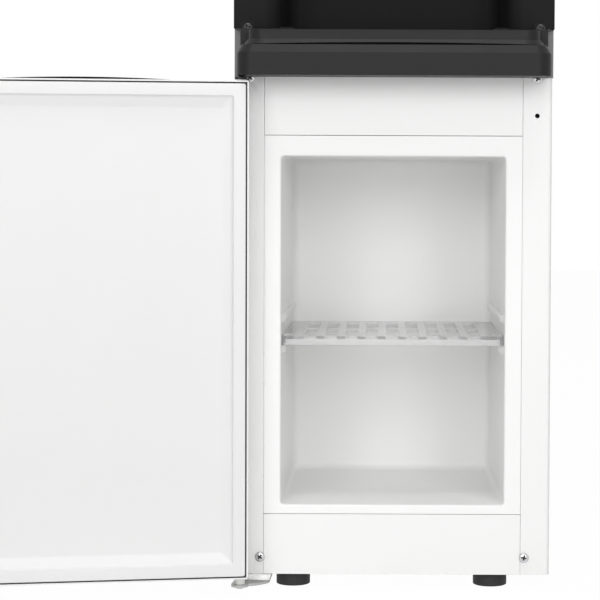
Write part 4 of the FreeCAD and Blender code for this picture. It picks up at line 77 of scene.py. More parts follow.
LOG = logging.getLogger("cooler")
MM = 0.001
PHOTO_PIXELS = 600
SIDES = (-1.0, 1.0)
MERGE_DISTANCE = 1e-6
PACKED_MERGE_DISTANCE = 2e-6
EDGE_SEGMENTS = 2
FLAT_ANGLE = math.radians(0.5)
SMOOTH_ANGLE = math.radians(32.0)
Point = tuple[float, float, float]
Colour = tuple[float, float, float]
Value = Union["Socket", float]


# ---------------------------------------------------------------- shader graph
class Socket:
    """An output socket on which arithmetic adds Math nodes."""

    def __init__(self, graph: "Graph", output: bpy.types.NodeSocket) -> None:
        """Keep the graph that new nodes go into and the wrapped output."""
        self.graph = graph
        self.output = output

    def _math(self, operation: str, *values: Value) -> "Socket":
        """Add one Math node.

        Args:
            operation: Name of the Math node's operation.
            values: Its inputs, in order.

        Returns:
            The node's result.
        """
        return self.graph.node("ShaderNodeMath", {"operation": operation}, dict(enumerate(values)))

    def __add__(self, other: Value) -> "Socket":
        """Sum."""
        return self._math("ADD", self, other)

    __radd__ = __add__

    def __sub__(self, other: Value) -> "Socket":
        """Difference."""
        return self._math("SUBTRACT", self, other)

    def __rsub__(self, other: float) -> "Socket":
        """Difference from a plain number."""
        return self._math("SUBTRACT", other, self)

    def __mul__(self, other: Value) -> "Socket":
        """Product."""
        return self._math("MULTIPLY", self, other)

    __rmul__ = __mul__

    def clamped(self) -> "Socket":
        """The value held between 0 and 1."""
        return self._math("MINIMUM", self._math("MAXIMUM", self, 0.0), 1.0)

    def step(self, low: float, high: float) -> "Socket":
        """Linear ramp from 0 at low to 1 at high."""
        return ((self - low) * (1.0 / (high - low))).clamped()


class Graph:
    """The node tree of one material or of the world."""

    def __init__(self, name: str, owner: bpy.types.World | None = None) -> None:
        """Empty the node tree of a new material, or of the world that is given."""
        self.material = owner or bpy.data.materials.new(name)
        self.material.use_nodes = True
        self.tree = self.material.node_tree
        self.tree.nodes.clear()
        self.place = self.node("ShaderNodeTexCoord", result="Object")

    def node(
        self,
        kind: str,
        settings: dict[str, object] | None = None,
        inputs: dict[Union[str, int], object] | None = None,
        result: Union[str, int] = 0,
    ) -> Socket:
        """Add one node.

        Args:
            kind: Node type.
            settings: Properties set before the inputs.
            inputs: Values or sockets by input name or number.
            result: Name or number of the output that is returned.

        Returns:
            The chosen output.
        """
        made = self.tree.nodes.new(kind)
        for key, value in (settings or {}).items():
            setattr(made, key, value)
        for key, value in (inputs or {}).items():
            if isinstance(value, Socket):
                self.tree.links.new(value.output, made.inputs[key])
            else:
                made.inputs[key].default_value = value
        return Socket(self, made.outputs[result]) if made.outputs else Socket(self, None)

    def noise(self, scale: float, detail: float = 2.0, stretch: Point = (1.0, 1.0, 1.0)) -> Socket:
        """Noise on object coordinates.

        Args:
            scale: Features per metre.
            detail: Octaves.
            stretch: Scale along each axis.

        Returns:
            The noise value, about 0.5 on average.
        """
        place = self.node("ShaderNodeMapping", None, {"Vector": self.place, "Scale": stretch})
        inputs = {"Vector": place, "Scale": scale, "Detail": detail}
        return self.node("ShaderNodeTexNoise", None, inputs, "Fac")

    def cells(self, scale: float) -> Socket:
        """Distance to the nearest random point, for grain and foam beads."""
        inputs = {"Vector": self.place, "Scale": scale}
        return self.node("ShaderNodeTexVoronoi", None, inputs, "Distance")

    def axis(self, name: str) -> Socket:
        """One object coordinate: X, Y or Z."""
        return self.node("ShaderNodeSeparateXYZ", None, {"Vector": self.place}, name)

    def blend(self, amount: Value, first: Colour, second: Colour) -> Socket:
        """Colour mix by an amount."""
        inputs = {0: amount, 6: (*first, 1.0), 7: (*second, 1.0)}
        return self.node("ShaderNodeMix", {"data_type": "RGBA"}, inputs, 2)

    def marked(self, name: str) -> Socket:
        """A number stored on the points of the mesh, 0 where there is none."""
        return self.node("ShaderNodeAttribute", {"attribute_name": name}, None, "Fac")

    def lit_directly(self) -> Socket:
        """1 for what the camera sees straight, in a reflection or through glass, else 0."""
        rays = ("Is Camera Ray", "Is Glossy Ray", "Is Transmission Ray")
        first, second, third = (self.node("ShaderNodeLightPath", None, None, ray) for ray in rays)
        return (first + second + third).clamped()

    def bump(self, height: Socket, depth: float, strength: float = 1.0) -> Socket:
        """Normal bent by a height field whose full range is depth metres."""
        inputs = {"Height": height, "Distance": depth, "Strength": strength}
        return self.node("ShaderNodeBump", None, inputs, "Normal")

    def surface(self, **inputs: object) -> bpy.types.Material:
        """Close the graph with a Principled surface.

        Args:
            inputs: Principled inputs, with underscores for spaces.

        Returns:
            The finished material.
        """
        named = {key.replace("_", " "): value for key, value in inputs.items()}
        shader = self.node("ShaderNodeBsdfPrincipled", None, named)
        self.node("ShaderNodeOutputMaterial", None, {"Surface": shader})
        return self.material


# ---------------------------------------------------------------- finishes
@dataclass(frozen=True)
class Finish:
    """A material slot of the record, or a darker copy of one (several of them paint shade), and the
    look it stands for.
    """

    slot: str
    colour: Colour
    roughness: float

    def graph(self) -> Graph:
        """An empty graph named after the slot."""
        return Graph("finish_" + self.slot)

    def darker(self, share: float) -> Colour:
        """The colour at a share of its brightness."""
        return tuple(channel * share for channel in self.colour)

    def material(self) -> bpy.types.Material:
        """The finished material."""
        raise NotImplementedError


@dataclass(frozen=True)
class PowderCoat(Finish):
    """Baked white paint on sheet steel: fine orange peel and a trace of floor dust."""

    dust: Colour = (0.74, 0.73, 0.70)
    dust_height: float = 0.05
    dust_cover: float = 0.35
    dust_dulling: float = 0.3
    patches: float = 9.0
    drift: float = 25.0
    drift_range: float = 0.1
    peel: float = 650.0
    peel_depth: float = 0.00006
    peel_strength: float = 0.35

    def material(self) -> bpy.types.Material:
        """Colour, gloss and peel from object coordinates."""
        g = self.graph()
        near_floor = 1.0 - g.axis("Z").step(0.0, self.dust_height)
        dust = near_floor * g.noise(self.patches, 4.0).step(0.35, 0.75) * self.dust_cover
        drift = (g.noise(self.drift) - 0.5) * self.drift_range
        return g.surface(
            Base_Color=g.blend(dust, self.colour, self.dust),
            Roughness=self.roughness + drift + dust * self.dust_dulling,
            Normal=g.bump(g.noise(self.peel), self.peel_depth, self.peel_strength),
        )


@dataclass(frozen=True)
class Moulding(Finish):
    """Injection-moulded plastic with a fine spark-eroded grain."""

    grain: float = 1400.0
    depth: float = 0.00003
    variation: float = 0.06
    gloss: float = 0.5
    drift: float = 30.0
    clouds: float = 12.0
    cloud_shade: float = 0.96
    strength: float = 0.6

    def material(self) -> bpy.types.Material:
        """Grain in the normal, slow drift in the gloss and faint clouds in the colour."""
        g = self.graph()
        clouds = (g.noise(self.clouds, 3.0) - 0.3).clamped() * 0.6
        return g.surface(
            Base_Color=g.blend(clouds, self.colour, self.darker(self.cloud_shade)),
            Roughness=self.roughness + (g.noise(self.drift, 3.0) - 0.5) * self.variation,
            Specular_IOR_Level=self.gloss,
            Normal=g.bump(g.noise(self.grain, 3.0), self.depth, self.strength),
        )


@dataclass(frozen=True)
class GlossMoulding(Finish):
    """Polished black plastic with hairline wiping marks."""

    gloss: float = 0.03
    smears: float = 18.0
    smear_dulling: float = 0.05
    hairs: float = 260.0
    hair_dulling: float = 0.03
    waves: float = 14.0
    wave_depth: float = 0.0001
    wave_strength: float = 0.3

    def material(self) -> bpy.types.Material:
        """A soft polish broken by smears and hairlines."""
        g = self.graph()
        smears = g.noise(self.smears, 5.0, (1.0, 1.0, 0.35)).step(0.45, 0.8)
        hairs = g.noise(self.hairs, 2.0, (1.0, 1.0, 0.05)).step(0.62, 0.8)
        return g.surface(
            Base_Color=(*self.colour, 1.0),
            Roughness=self.roughness + smears * self.smear_dulling + hairs * self.hair_dulling,
            Specular_IOR_Level=self.gloss,
            Normal=g.bump(g.noise(self.waves, 1.0), self.wave_depth, self.wave_strength),
        )


@dataclass(frozen=True)
class ClearMoulding(Finish):
    """Translucent polystyrene that scatters a little light."""

    clarity: float = 0.86
    index: float = 1.52
    flow: float = 60.0
    flow_range: float = 0.12
    flow_depth: float = 0.0001
    flow_strength: float = 0.5

    def material(self) -> bpy.types.Material:
        """Rough transmission with faint flow lines."""
        g = self.graph()
        flow = g.noise(self.flow, 3.0, (0.25, 1.0, 1.0))
        return g.surface(
            Base_Color=(*self.colour, 1.0),
            Roughness=self.roughness + (flow - 0.5) * self.flow_range,
            IOR=self.index,
            Transmission_Weight=self.clarity,
            Normal=g.bump(flow, self.flow_depth, self.flow_strength),
        )


@dataclass(frozen=True)
class Brushed(Finish):
    """Bare or plated sheet metal with rolling marks along one axis."""

    stretch: Point = (1.0, 0.04, 1.0)
    spangle: float = 0.0
    streaks: float = 420.0
    streak_range: float = 0.2
    streak_depth: float = 0.00003
    streak_strength: float = 0.5
    plates: float = 70.0
    shade: float = 0.72

    def material(self) -> bpy.types.Material:
        """Streaked roughness, with spangles where the metal is dipped."""
        g = self.graph()
        streaks = g.noise(self.streaks, 4.0, self.stretch)
        tone = streaks * (1.0 - self.spangle) + g.cells(self.plates) * self.spangle
        return g.surface(
            Base_Color=g.blend(tone.clamped(), self.colour, self.darker(self.shade)),
            Metallic=1.0,
            Roughness=self.roughness + (streaks - 0.5) * self.streak_range,
            Normal=g.bump(streaks, self.streak_depth, self.streak_strength),
        )


@dataclass(frozen=True)
class Plated(Finish):
    """Bright nickel-chrome plating with light scuffs and painted shade in its recesses."""

    # colour of the real scuffs and of the painted shade
    soil: Colour = (0.02, 0.02, 0.02)
    scuffs: float = 900.0
    scuff_tone: float = 0.3
    scuff_dulling: float = 0.15
    shade_dulling: float = 0.4

    def material(self) -> bpy.types.Material:
        """Low roughness, broken by scuffs and by painted shade where the mesh is marked."""
        g = self.graph()
        scuffs = g.noise(self.scuffs, 3.0).step(0.55, 0.8)
        # painted shade: marked points turn dark, dull and less metallic, standing in for the shadow in
        # the cross recess and at the rim
        grime = g.marked("grime")
        return g.surface(
            Base_Color=g.blend((scuffs * self.scuff_tone + grime).clamped(), self.colour, self.soil),
            Metallic=1.0 - grime,
            Roughness=self.roughness + scuffs * self.scuff_dulling + grime * self.shade_dulling,
        )


@dataclass(frozen=True)
class Beaded(Finish):
    """Expanded foam made of fused beads."""

    beads: float = 330.0
    bead_depth: float = 0.0008
    bead_strength: float = 0.7
    shade: float = 0.82

    def material(self) -> bpy.types.Material:
        """Cell shapes in colour and normal."""
        g = self.graph()
        beads = g.cells(self.beads)
        return g.surface(
            Base_Color=g.blend(beads.step(0.2, 0.9), self.colour, self.darker(self.shade)),
            Roughness=self.roughness,
            Normal=g.bump(1.0 - beads, self.bead_depth, self.bead_strength),
        )


@dataclass(frozen=True)
class Hose(Finish):
    """Milky silicone tube."""

    milk: Colour = (0.68, 0.68, 0.64)
    haze: float = 55.0
    haze_tone: float = 0.4
    haze_range: float = 0.1
    scatter: float = 0.25
    scatter_reach: float = 0.004

    def material(self) -> bpy.types.Material:
        """Soft scattering with a waxy surface."""
        g = self.graph()
        haze = g.noise(self.haze, 3.0)
        return g.surface(
            Base_Color=g.blend(haze * self.haze_tone, self.colour, self.milk),
            Roughness=self.roughness + (haze - 0.5) * self.haze_range,
            Subsurface_Weight=self.scatter,
            Subsurface_Scale=self.scatter_reach,
        )


FINISHES: tuple[Finish, ...] = (
    PowderCoat("white_steel", (0.89, 0.89, 0.885), 0.36),
    Moulding("white_plastic", (0.92, 0.92, 0.915), 0.34),
    # painted shade: darker copies of white_plastic for the door's lining and outer shell, standing in
    # for the shade on the open door
    Moulding("door_white", (0.79, 0.79, 0.788), 0.34),
    Moulding("shell_white", (0.85, 0.85, 0.845), 0.34),
    ClearMoulding("clear_plastic", (0.9, 0.9, 0.9), 0.12, 0.8),
    # painted shade: dark, less clear copy for the shelf's edges
    ClearMoulding("clear_edge", (0.16, 0.16, 0.16), 0.3, 0.2),
    GlossMoulding("black_gloss", (0.0165, 0.0165, 0.017), 0.34),
    Moulding("black_satin", (0.0172, 0.0172, 0.018), 0.42, 1100.0, 0.00005, 0.08, 0.14),
    Plated("chrome", (0.62, 0.62, 0.63), 0.2),
    Brushed("zinc", (0.5, 0.5, 0.495), 0.38, (1.0, 0.06, 1.0), 0.35),
    Moulding("nylon", (0.84, 0.84, 0.81), 0.42, 900.0, 0.00002, 0.05),
    Moulding("pull_black", (0.006, 0.006, 0.006), 0.5, 1100.0, 0.00005, 0.08, 0.1),
    # painted shade: grey for the sheets beside the tray, where the white flange lies in shadow
    Moulding("trim_grey", (0.2, 0.2, 0.204), 0.45),
    Moulding("black_rubber", (0.012, 0.012, 0.012), 0.68, 500.0, 0.0001, 0.12),
    Moulding("black_enamel", (0.012, 0.012, 0.012), 0.4, 300.0, 0.0001, 0.12),
    Brushed("copper", (0.78, 0.4, 0.25), 0.3, (1.0, 1.0, 0.1)),
    Brushed("stainless", (0.62, 0.62, 0.61), 0.26, (1.0, 1.0, 0.04)),
    Beaded("foam", (0.86, 0.86, 0.83), 0.8),
    Hose("hose_silicone", (0.78, 0.78, 0.75), 0.35),
    Moulding("red", (0.55, 0.02, 0.02), 0.28),
    Moulding("blue", (0.02, 0.1, 0.5), 0.28),
    Moulding("amber", (0.75, 0.26, 0.02), 0.18, 200.0, 0.00002, 0.03),
)


class Palette:
    """Finished materials by slot, each made once."""

    def __init__(self, finishes: Iterable[Finish]) -> None:
        """Build every finish."""
        self.materials = {finish.slot: finish.material() for finish in finishes}

    def dress(self, piece: bpy.types.Object, slot: str) -> bpy.types.Object:
        """Give a piece one finish.

        Args:
            piece: The object to dress.
            slot: Name of the finish.

        Returns:
            The same object.
        """
        piece.data.materials.clear()
        piece.data.materials.append(self.materials[slot])
        return piece

    def dress_frame(self) -> None:
        """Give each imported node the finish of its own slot."""
        for node in frame["nodes"].values():
            for held in node.material_slots:
                held.material = self.materials[held.material.name.split(".")[0]]


# ---------------------------------------------------------------- surfaces
def linked(name: str, data: bpy.types.ID) -> bpy.types.Object:
    """New object that holds the data and stands in the scene."""
    made = bpy.data.objects.new(name, data)
    bpy.context.scene.collection.objects.link(made)
    return made


def mesh_object(name: str, points: np.ndarray, faces: list[list[int]]) -> bpy.types.Object:
    """Object from points and faces, its faces turned outwards and smooth between creases.

    Args:
        name: Name of the piece.
        points: Array of shape (count, 3).
        faces: Point numbers of each face.

    Returns:
        The linked object.
    """
    mesh = bpy.data.meshes.new(name)
    mesh.from_pydata(points.tolist(), [], faces)
    work = bmesh.new()
    work.from_mesh(mesh)
    bmesh.ops.remove_doubles(work, verts=work.verts, dist=MERGE_DISTANCE)
    bmesh.ops.recalc_face_normals(work, faces=work.faces)
    work.to_mesh(mesh)
    work.free()
    mesh.shade_smooth()
    mesh.set_sharp_from_angle(angle=SMOOTH_ANGLE)
    return linked(name, mesh)


def quads(rows: int, columns: int, wrap: bool) -> list[list[int]]:
    """Faces of a grid of points stored row by row.

    Args:
        rows: Points down.
        columns: Points along a row.
        wrap: Whether the last column joins the first.

    Returns:
        Four point numbers for each face.
    """
    across = np.arange(columns if wrap else columns - 1)
    r, c = np.meshgrid(np.arange(rows - 1), across, indexing="ij")
    here, below = r * columns, (r + 1) * columns
    after = (c + 1) % columns
    corners = [here + c, here + after, below + after, below + c]
    return np.stack(corners, axis=-1).reshape(-1, 4).tolist()


class Caps(Enum):
    """Which ends of a stack of rings are filled."""

    NONE = ()
    LAST = (-1,)
    BOTH = (0, -1)


def rings_object(name: str, rings: np.ndarray, caps: Caps = Caps.BOTH) -> bpy.types.Object:
    """Surface through a stack of closed rings.

    Args:
        name: Name of the piece.
        rings: Array of shape (rings, points, 3).
        caps: The ends that are filled.

    Returns:
        The linked object.
    """
    count, around, _ = rings.shape
    faces = quads(count, around, True)
    numbers = np.arange(count * around).reshape(count, around)
    faces += [numbers[end].tolist() for end in caps.value]
    return mesh_object(name, rings.reshape(-1, 3), faces)


def turns(count: int) -> np.ndarray:
    """Even angles around a full circle."""
    return np.linspace(0.0, 2 * math.pi, count, endpoint=False)


def upright(ring: np.ndarray, y: float, x: float = 0.0, z: float = 0.0) -> np.ndarray:
    """Flat ring stood up in a plane of one depth.

    Args:
        ring: Array of shape (points, 2), across and up.
        y: Depth of the plane.
        x: Place of the ring's origin across.
        z: Height of the ring's origin.

    Returns:
        Array of shape (points, 3).
    """
    return np.column_stack([ring[:, 0] + x, np.full(len(ring), y), ring[:, 1] + z])


def laid(plan: np.ndarray, z: float) -> np.ndarray:
    """Plan outline of shape (points, 2) laid at one height, as points in space."""
    return np.column_stack([plan, np.full(len(plan), z)])


def rounded_ring(
    half_w: float, half_h: float, radii: Sequence[float], steps: int = 10
) -> np.ndarray:
    """Rounded rectangle about the origin, anticlockwise from its right lower corner.

    Each corner is a quarter circle: its centre plus the radius times (cos t, sin t).

    Args:
        half_w: Half width.
        half_h: Half height.
        radii: Radius of the right lower, right upper, left upper and left lower corner.
        steps: Straight pieces in each quarter circle.

    Returns:
        Array of shape (4 * (steps + 1), 2).
    """
    radius = np.maximum(np.asarray(radii, float), 1e-5)[:, None]
    sign = np.array([(1, -1), (1, 1), (-1, 1), (-1, -1)], float)
    centre = sign * (np.array([half_w, half_h]) - radius)
    turn = np.linspace(0.0, math.pi / 2, steps + 1)[None, :]
    angle = turn + np.array([-1, 0, 1, 2])[:, None] * (math.pi / 2)
    x = centre[:, :1] + radius * np.cos(angle)
    y = centre[:, 1:] + radius * np.sin(angle)
    return np.stack([x, y], axis=-1).reshape(-1, 2)


def eased(
    corners: Sequence[tuple[float, float]], radii: Sequence[float], steps: int = 6
) -> np.ndarray:
    """Polyline whose inner corners are rounded.

    Each corner becomes the arc that touches both of its runs at the radius times the
    tangent of half the turn.

    Args:
        corners: Points of the line.
        radii: A radius for every corner but the first and last.
        steps: Straight pieces in each arc.

    Returns:
        Array of shape (points, 2).
    """
    points = np.asarray(corners, float)
    parts = [points[:1]]
    for before, corner, after, radius in zip(points, points[1:], points[2:], radii):
        inward = (before - corner) / np.linalg.norm(before - corner)
        outward = (after - corner) / np.linalg.norm(after - corner)
        half = math.acos(float(np.clip(inward @ outward, -1.0, 1.0))) / 2
        reach = radius / math.tan(half) if half > 1e-6 else 0.0
        t = np.linspace(0.0, 1.0, steps + 1)[:, None]
        first, last = corner + inward * reach, corner + outward * reach
        chord = (first + last) / 2
        bisector = (inward + outward) / max(np.linalg.norm(inward + outward), 1e-9)
        centre = corner + bisector * (radius / math.sin(half))
        swing = (math.pi / 2 - half) * (2 * t - 1)
        along = (last - first) / max(np.linalg.norm(last - first), 1e-9)
        away = (chord - centre) / max(np.linalg.norm(chord - centre), 1e-9)
        parts.append(centre + radius * (np.cos(swing) * away + np.sin(swing) * along))
    parts.append(points[-1:])
    return np.concatenate(parts)


def turned_object(name: str, profile: np.ndarray, centre: Point, steps: int) -> bpy.types.Object:
    """Surface of revolution about an upright axis.

    A point (r, h) of the profile becomes the centre plus (r cos t, r sin t, h).

    Args:
        name: Name of the piece.
        profile: Radius and height of each point, from pole to pole or closed on itself.
        centre: Point of the axis at height 0.
        steps: Points around.

    Returns:
        The linked object.
    """
    t = turns(steps)
    radius, height = profile[:, :1], profile[:, 1:]
    x = radius * np.cos(t)
    y = radius * np.sin(t)
    z = np.broadcast_to(height, x.shape)
    rings = np.stack([x, y, z], axis=-1) + np.asarray(centre)
    return rings_object(name, rings, Caps.NONE)


def tube_object(name: str, path: np.ndarray, radius: float, sides: int) -> bpy.types.Object:
    """Round bar along a path.

    Each ring stands square to the path's direction d, in the plane of two unit vectors:
    one carried along the path with its part along d removed, and its cross product with d.

    Args:
        name: Name of the piece.
        path: Array of shape (points, 3).
        radius: Radius of the bar.
        sides: Points around.

    Returns:
        The linked object.
    """
    along = np.gradient(path, axis=0)
    along /= np.linalg.norm(along, axis=1)[:, None]
    carried = np.zeros_like(along)
    side = np.cross(along[0], (0.31, 0.53, 0.79))
    for i, direction in enumerate(along):
        side = side - direction * (side @ direction)
        side = side / np.linalg.norm(side)
        carried[i] = side
    other = np.cross(along, carried)
    t = turns(sides)
    cosine, sine = np.cos(t)[None, :, None], np.sin(t)[None, :, None]
    ring = cosine * carried[:, None, :] + sine * other[:, None, :]
    return rings_object(name, path[:, None, :] + radius * ring)


def softened(node: str, width: float, crease: float) -> bpy.types.Object:
    """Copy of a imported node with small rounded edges, which then stands for it.

    Args:
        node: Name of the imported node.
        width: Width of the rounded edge.
        crease: Turn between two faces, in degrees, from which their edge is rounded.

    Returns:
        The linked object, riding on the node's own body.
    """
    source = frame["nodes"][node]
    mesh = source.data.copy()
    work = bmesh.new()
    work.from_mesh(mesh)
    bmesh.ops.remove_doubles(work, verts=work.verts, dist=PACKED_MERGE_DISTANCE)
    bmesh.ops.dissolve_limit(work, angle_limit=FLAT_ANGLE, verts=work.verts, edges=work.edges)
    work.to_mesh(mesh)
    work.free()
    mesh.shade_smooth()
    mesh.set_sharp_from_angle(angle=math.radians(crease))
    piece = linked(node + "_soft", mesh)
    bevel = piece.modifiers.new("edges", "BEVEL")
    bevel.width = width
    bevel.segments = EDGE_SEGMENTS
    bevel.limit_method = "ANGLE"
    bevel.angle_limit = math.radians(crease)
    bevel.use_clamp_overlap = True
    bevel.harden_normals = True
    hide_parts(node)
    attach(piece, source["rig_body"])
    return piece


# ---------------------------------------------------------------- sub-assemblies
class Edge(Enum):
    """How round a piece's edges are, in millimetres."""

    FOLD = 0.3
    TRIM = 0.45
    MOULDING = 0.8


@dataclass
class Assembly:
    """Shared work of every sub-assembly: naming, finishing and reporting its pieces."""

    palette: Palette
    body: str = "cabinet"

    def add(self, piece: bpy.types.Object, slot: str, *nodes: str) -> bpy.types.Object:
        """Finish a new piece and tie it to the body.

        Args:
            piece: The new object.
            slot: Material slot of the record.
            nodes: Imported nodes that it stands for.

        Returns:
            The same object.
        """
        self.palette.dress(piece, slot)
        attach(piece, self.body)
        if nodes:
            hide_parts(*nodes)
        LOG.info("%s: %d faces on %s", piece.name, len(piece.data.polygons), self.body)
        return piece

    def soften(self, node: str, edge: Edge, crease: float = 35.0) -> bpy.types.Object:
        """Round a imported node's edges and finish it.

        Args:
            node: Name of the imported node.
            edge: How round its edges are.
            crease: Turn in degrees from which an edge is rounded.

        Returns:
            The new object.
        """
        packed = frame["nodes"][node].data.materials[0].name.split(".")[0]
        slot = packed.replace("finish_", "")
        piece = softened(node, edge.value * MM, crease)
        self.palette.dress(piece, slot)
        LOG.info("%s: edges rounded by %.2f mm", node, edge.value)
        return piece


@dataclass
class CabinetLiner(Assembly):
    """White moulded cabinet: flat rim, rounded lip, drafted walls and shelf ribs."""

    rim_side: float = 16.5 * MM
    rim_top: float = 20.0 * MM
    rim_bottom: float = 9.0 * MM
    depth: float = 215.0 * MM
    draft: float = 3.0 * MM
    front_radius: float = 3.0 * MM
    back_radius: float = 6.0 * MM
    least_radius: float = 1.5 * MM
    back_reach: float = 60.0 * MM
    lip: float = 2.4 * MM
    cove: float = 9.0 * MM
    wall: float = 2.5 * MM
    rib_levels: tuple[tuple[float, float], ...] = (
        (148.5 * MM, 156.0 * MM),
        (178.5 * MM, 186.5 * MM),
    )
    rib_start: float = 7.0 * MM
    rib_back: float = 193.0 * MM
    rib_reach: float = 4.0 * MM
    rib_ramp: float = 2.5
    rib_taper: float = 2.7 * MM
    rib_ease: float = 2.0 * MM
    rib_root: float = 1.5 * MM
    rib_edge: float = 1.0 * MM
    rib_pull: float = 0.6 * MM

    def build(self) -> None:
        """Make the shell from rings that follow its profile, then the ribs."""
        low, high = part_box("cabinet_liner")
        y0 = low.y
        half_w = (high.x - low.x) / 2
        z_mid = (low.z + high.z) / 2
        open_w = half_w - self.rim_side
        open_low, open_high = low.z + self.rim_bottom, high.z - self.rim_top
        open_h = (open_high - open_low) / 2
        open_z = (open_low + open_high) / 2
        profile = eased(
            [
                (-self.rim_side, 0.0),
                (0.0, 0.0),
                (self.draft, self.depth),
                (self.back_reach, self.depth),
            ],
            [self.lip, self.cove],
            8,
        )
        rim = rounded_ring(half_w, (high.z - low.z) / 2, [0.0] * 4)
        rings = [upright(rim, y, z=z_mid) for y in (y0 + self.wall, y0)]
        for pulled, back in profile[1:]:
            mix = min(max(back / self.depth, 0.0), 1.0)
            grown = (self.back_radius - self.front_radius) * mix
            radius = self.front_radius + grown - min(pulled, 0.0)
            radius = max(radius - max(pulled - self.draft, 0.0), self.least_radius)
            ring = rounded_ring(open_w - pulled, open_h - pulled, [radius] * 4)
            rings.append(upright(ring, y0 + back, z=open_z))
        shell = rings_object("liner_shell", np.array(rings), Caps.LAST)
        solid = shell.modifiers.new("wall", "SOLIDIFY")
        solid.thickness = self.wall
        solid.offset = self.outward(shell)
        self.add(shell, "white_plastic", "cabinet_liner")
        self.ribs(open_w, open_low, y0)

    @staticmethod
    def outward(shell: bpy.types.Object) -> float:
        """Sign of Solidify's offset that thickens the shell away from the opening."""
        rim = max(shell.data.polygons, key=lambda face: -face.center.y)
        return -1.0 if rim.normal.y < 0 else 1.0

    def ribs(self, open_w: float, open_low: float, y0: float) -> None:
        """Shelf ledges and the guide ribs above them, on both side walls.

        Args:
            open_w: Half width of the opening.
            open_low: Height of its lower edge.
            y0: Depth of the rim's face.
        """
        start, back, reach, root = self.rib_start, self.rib_back, self.rib_reach, self.rib_root
        plan = eased(
            [
                (0.0, start),
                (reach, start + self.rib_ramp * reach),
                (reach + self.rib_taper, back),
                (0.0, back + reach),
            ],
            [self.rib_ease, self.rib_ease],
        )
        plan = np.concatenate([[(-root, start)], plan, [(-root, back + reach)]])
        inner, depth = plan[None, :, 0], plan[None, :, 1]
        pulled = np.array([self.rib_pull, 0.0, 0.0, self.rib_pull])[:, None]
        reach_in = np.maximum(inner - pulled * (inner > 0), -root)
        for i, (low, high) in enumerate(self.rib_levels):
            heights = np.array([low, low + self.rib_edge, high - self.rib_edge, high])[:, None]
            for side in SIDES:
                x = side * (open_w - reach_in)
                y = np.broadcast_to(y0 + depth, x.shape)
                z = np.broadcast_to(open_low + heights, x.shape)
                rings = np.stack([x, y, z], axis=-1)
                self.add(rings_object(f"liner_rib_{i}_{int(side > 0)}", rings), "white_plastic")


@dataclass
class Door(Assembly):
    """Cabinet door, modelled shut and swung to where it stands open."""

    body: str = "door"
    skin: float = 1.5 * MM
    joint: float = 1.5 * MM
    border: float = 14.5 * MM
    slope: float = 11.0 * MM
    recess: float = 7.0 * MM
    drop: tuple[float, float] = (1.2 * MM, 3.6 * MM)
    # depths of a black strip in the joint that paints its shadow
    seal: tuple[float, float] = (1.1 * MM, 3.0 * MM)
    joint_shade_gap: float = 0.06 * MM
    side: float = 12.0 * MM
    corner: float = 2.0 * MM
    face_gap: float = 3.0 * MM
    side_gap: float = 1.0 * MM
    height: float = 480.0 * MM
    eases: tuple[float, ...] = (0.2, 0.3, 0.6, 0.5, 5.0, 8.0)
    hinge: dict[str, object] = field(default_factory=lambda: frame["joints"][0])

    def swing(self, points: np.ndarray) -> np.ndarray:
        """Turn points of the shut door about the hinge to its resting angle.

        Args:
            points: Array whose last axis is x, y, z.

        Returns:
            The turned points.
        """
        angle = math.radians(float(self.hinge["range_deg"][0]))
        pivot = np.array(self.hinge["pos_m"]) * (1.0, 1.0, 0.0)
        c, s = math.cos(angle), math.sin(angle)
        turn = np.array([[c, -s, 0.0], [s, c, 0.0], [0.0, 0.0, 1.0]])
        return (points - pivot) @ turn.T + pivot

    def rings(
        self, section: Iterable[Sequence[float]], half_w: float, y0: float, z_mid: float
    ) -> np.ndarray:
        """Carry a section around the door and swing it open.

        Args:
            section: Inset from the door's outline and rise from its face, point by point.
            half_w: Half width of the door.
            y0: Depth of the shut door's face.
            z_mid: Height of the door's middle.

        Returns:
            Array of shape (section points, points around, 3).
        """
        half_h, radii = self.height / 2, [self.corner] * 4
        stack = [
            upright(rounded_ring(half_w - inset, half_h - inset, radii), y0 + rise, z=z_mid)
            for inset, rise in section
        ]
        return self.swing(np.array(stack))

    def build(self) -> None:
        """Make the inner panel and a black strip in its joint that paints the joint's shadow, and dress
        the rest.
        """
        low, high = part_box("door_outer_shell")
        y0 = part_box("front_top_panel")[0].y - self.face_gap
        z_mid = (low.z + high.z) / 2
        half_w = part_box("side_panel_right")[1].x - self.side_gap
        edge = self.skin + self.joint
        floor = self.border + self.slope
        profile = eased(
            [
                (self.skin, -self.side),
                (self.skin, self.skin - self.side),
                (edge, self.skin - self.side),
                (edge, 0.0),
                (self.border, 0.0),
                (self.border + self.drop[0], -self.drop[1]),
                (floor, -self.recess),
                (3.0 * floor, -self.recess),
            ],
            [radius * MM for radius in self.eases],
            6,
        )
        panel = rings_object("door_lining", self.rings(profile, half_w, y0, z_mid))
        # painted shade: the lining takes the darker copy of the white plastic
        self.add(panel, "door_white", "door_inner_panel")
        # painted shade: a black rubber strip in the open joint, making it as dark as a deep shadow
        near, far = self.skin + self.joint_shade_gap, edge - self.joint_shade_gap
        top, bottom = (-level for level in self.seal)
        section = [(near, top), (far, top), (far, bottom), (near, bottom), (near, top)]
        seal = rings_object("door_seal", self.rings(section, half_w, y0, z_mid), Caps.NONE)
        self.add(seal, "black_rubber")
        shell = self.soften("door_outer_shell", Edge.TRIM)
        # painted shade: the outer shell takes a darker copy of the white plastic
        self.palette.dress(shell, "shell_white")
        pull = self.soften("door_pull", Edge.MOULDING)
        self.palette.dress(pull, "pull_black")


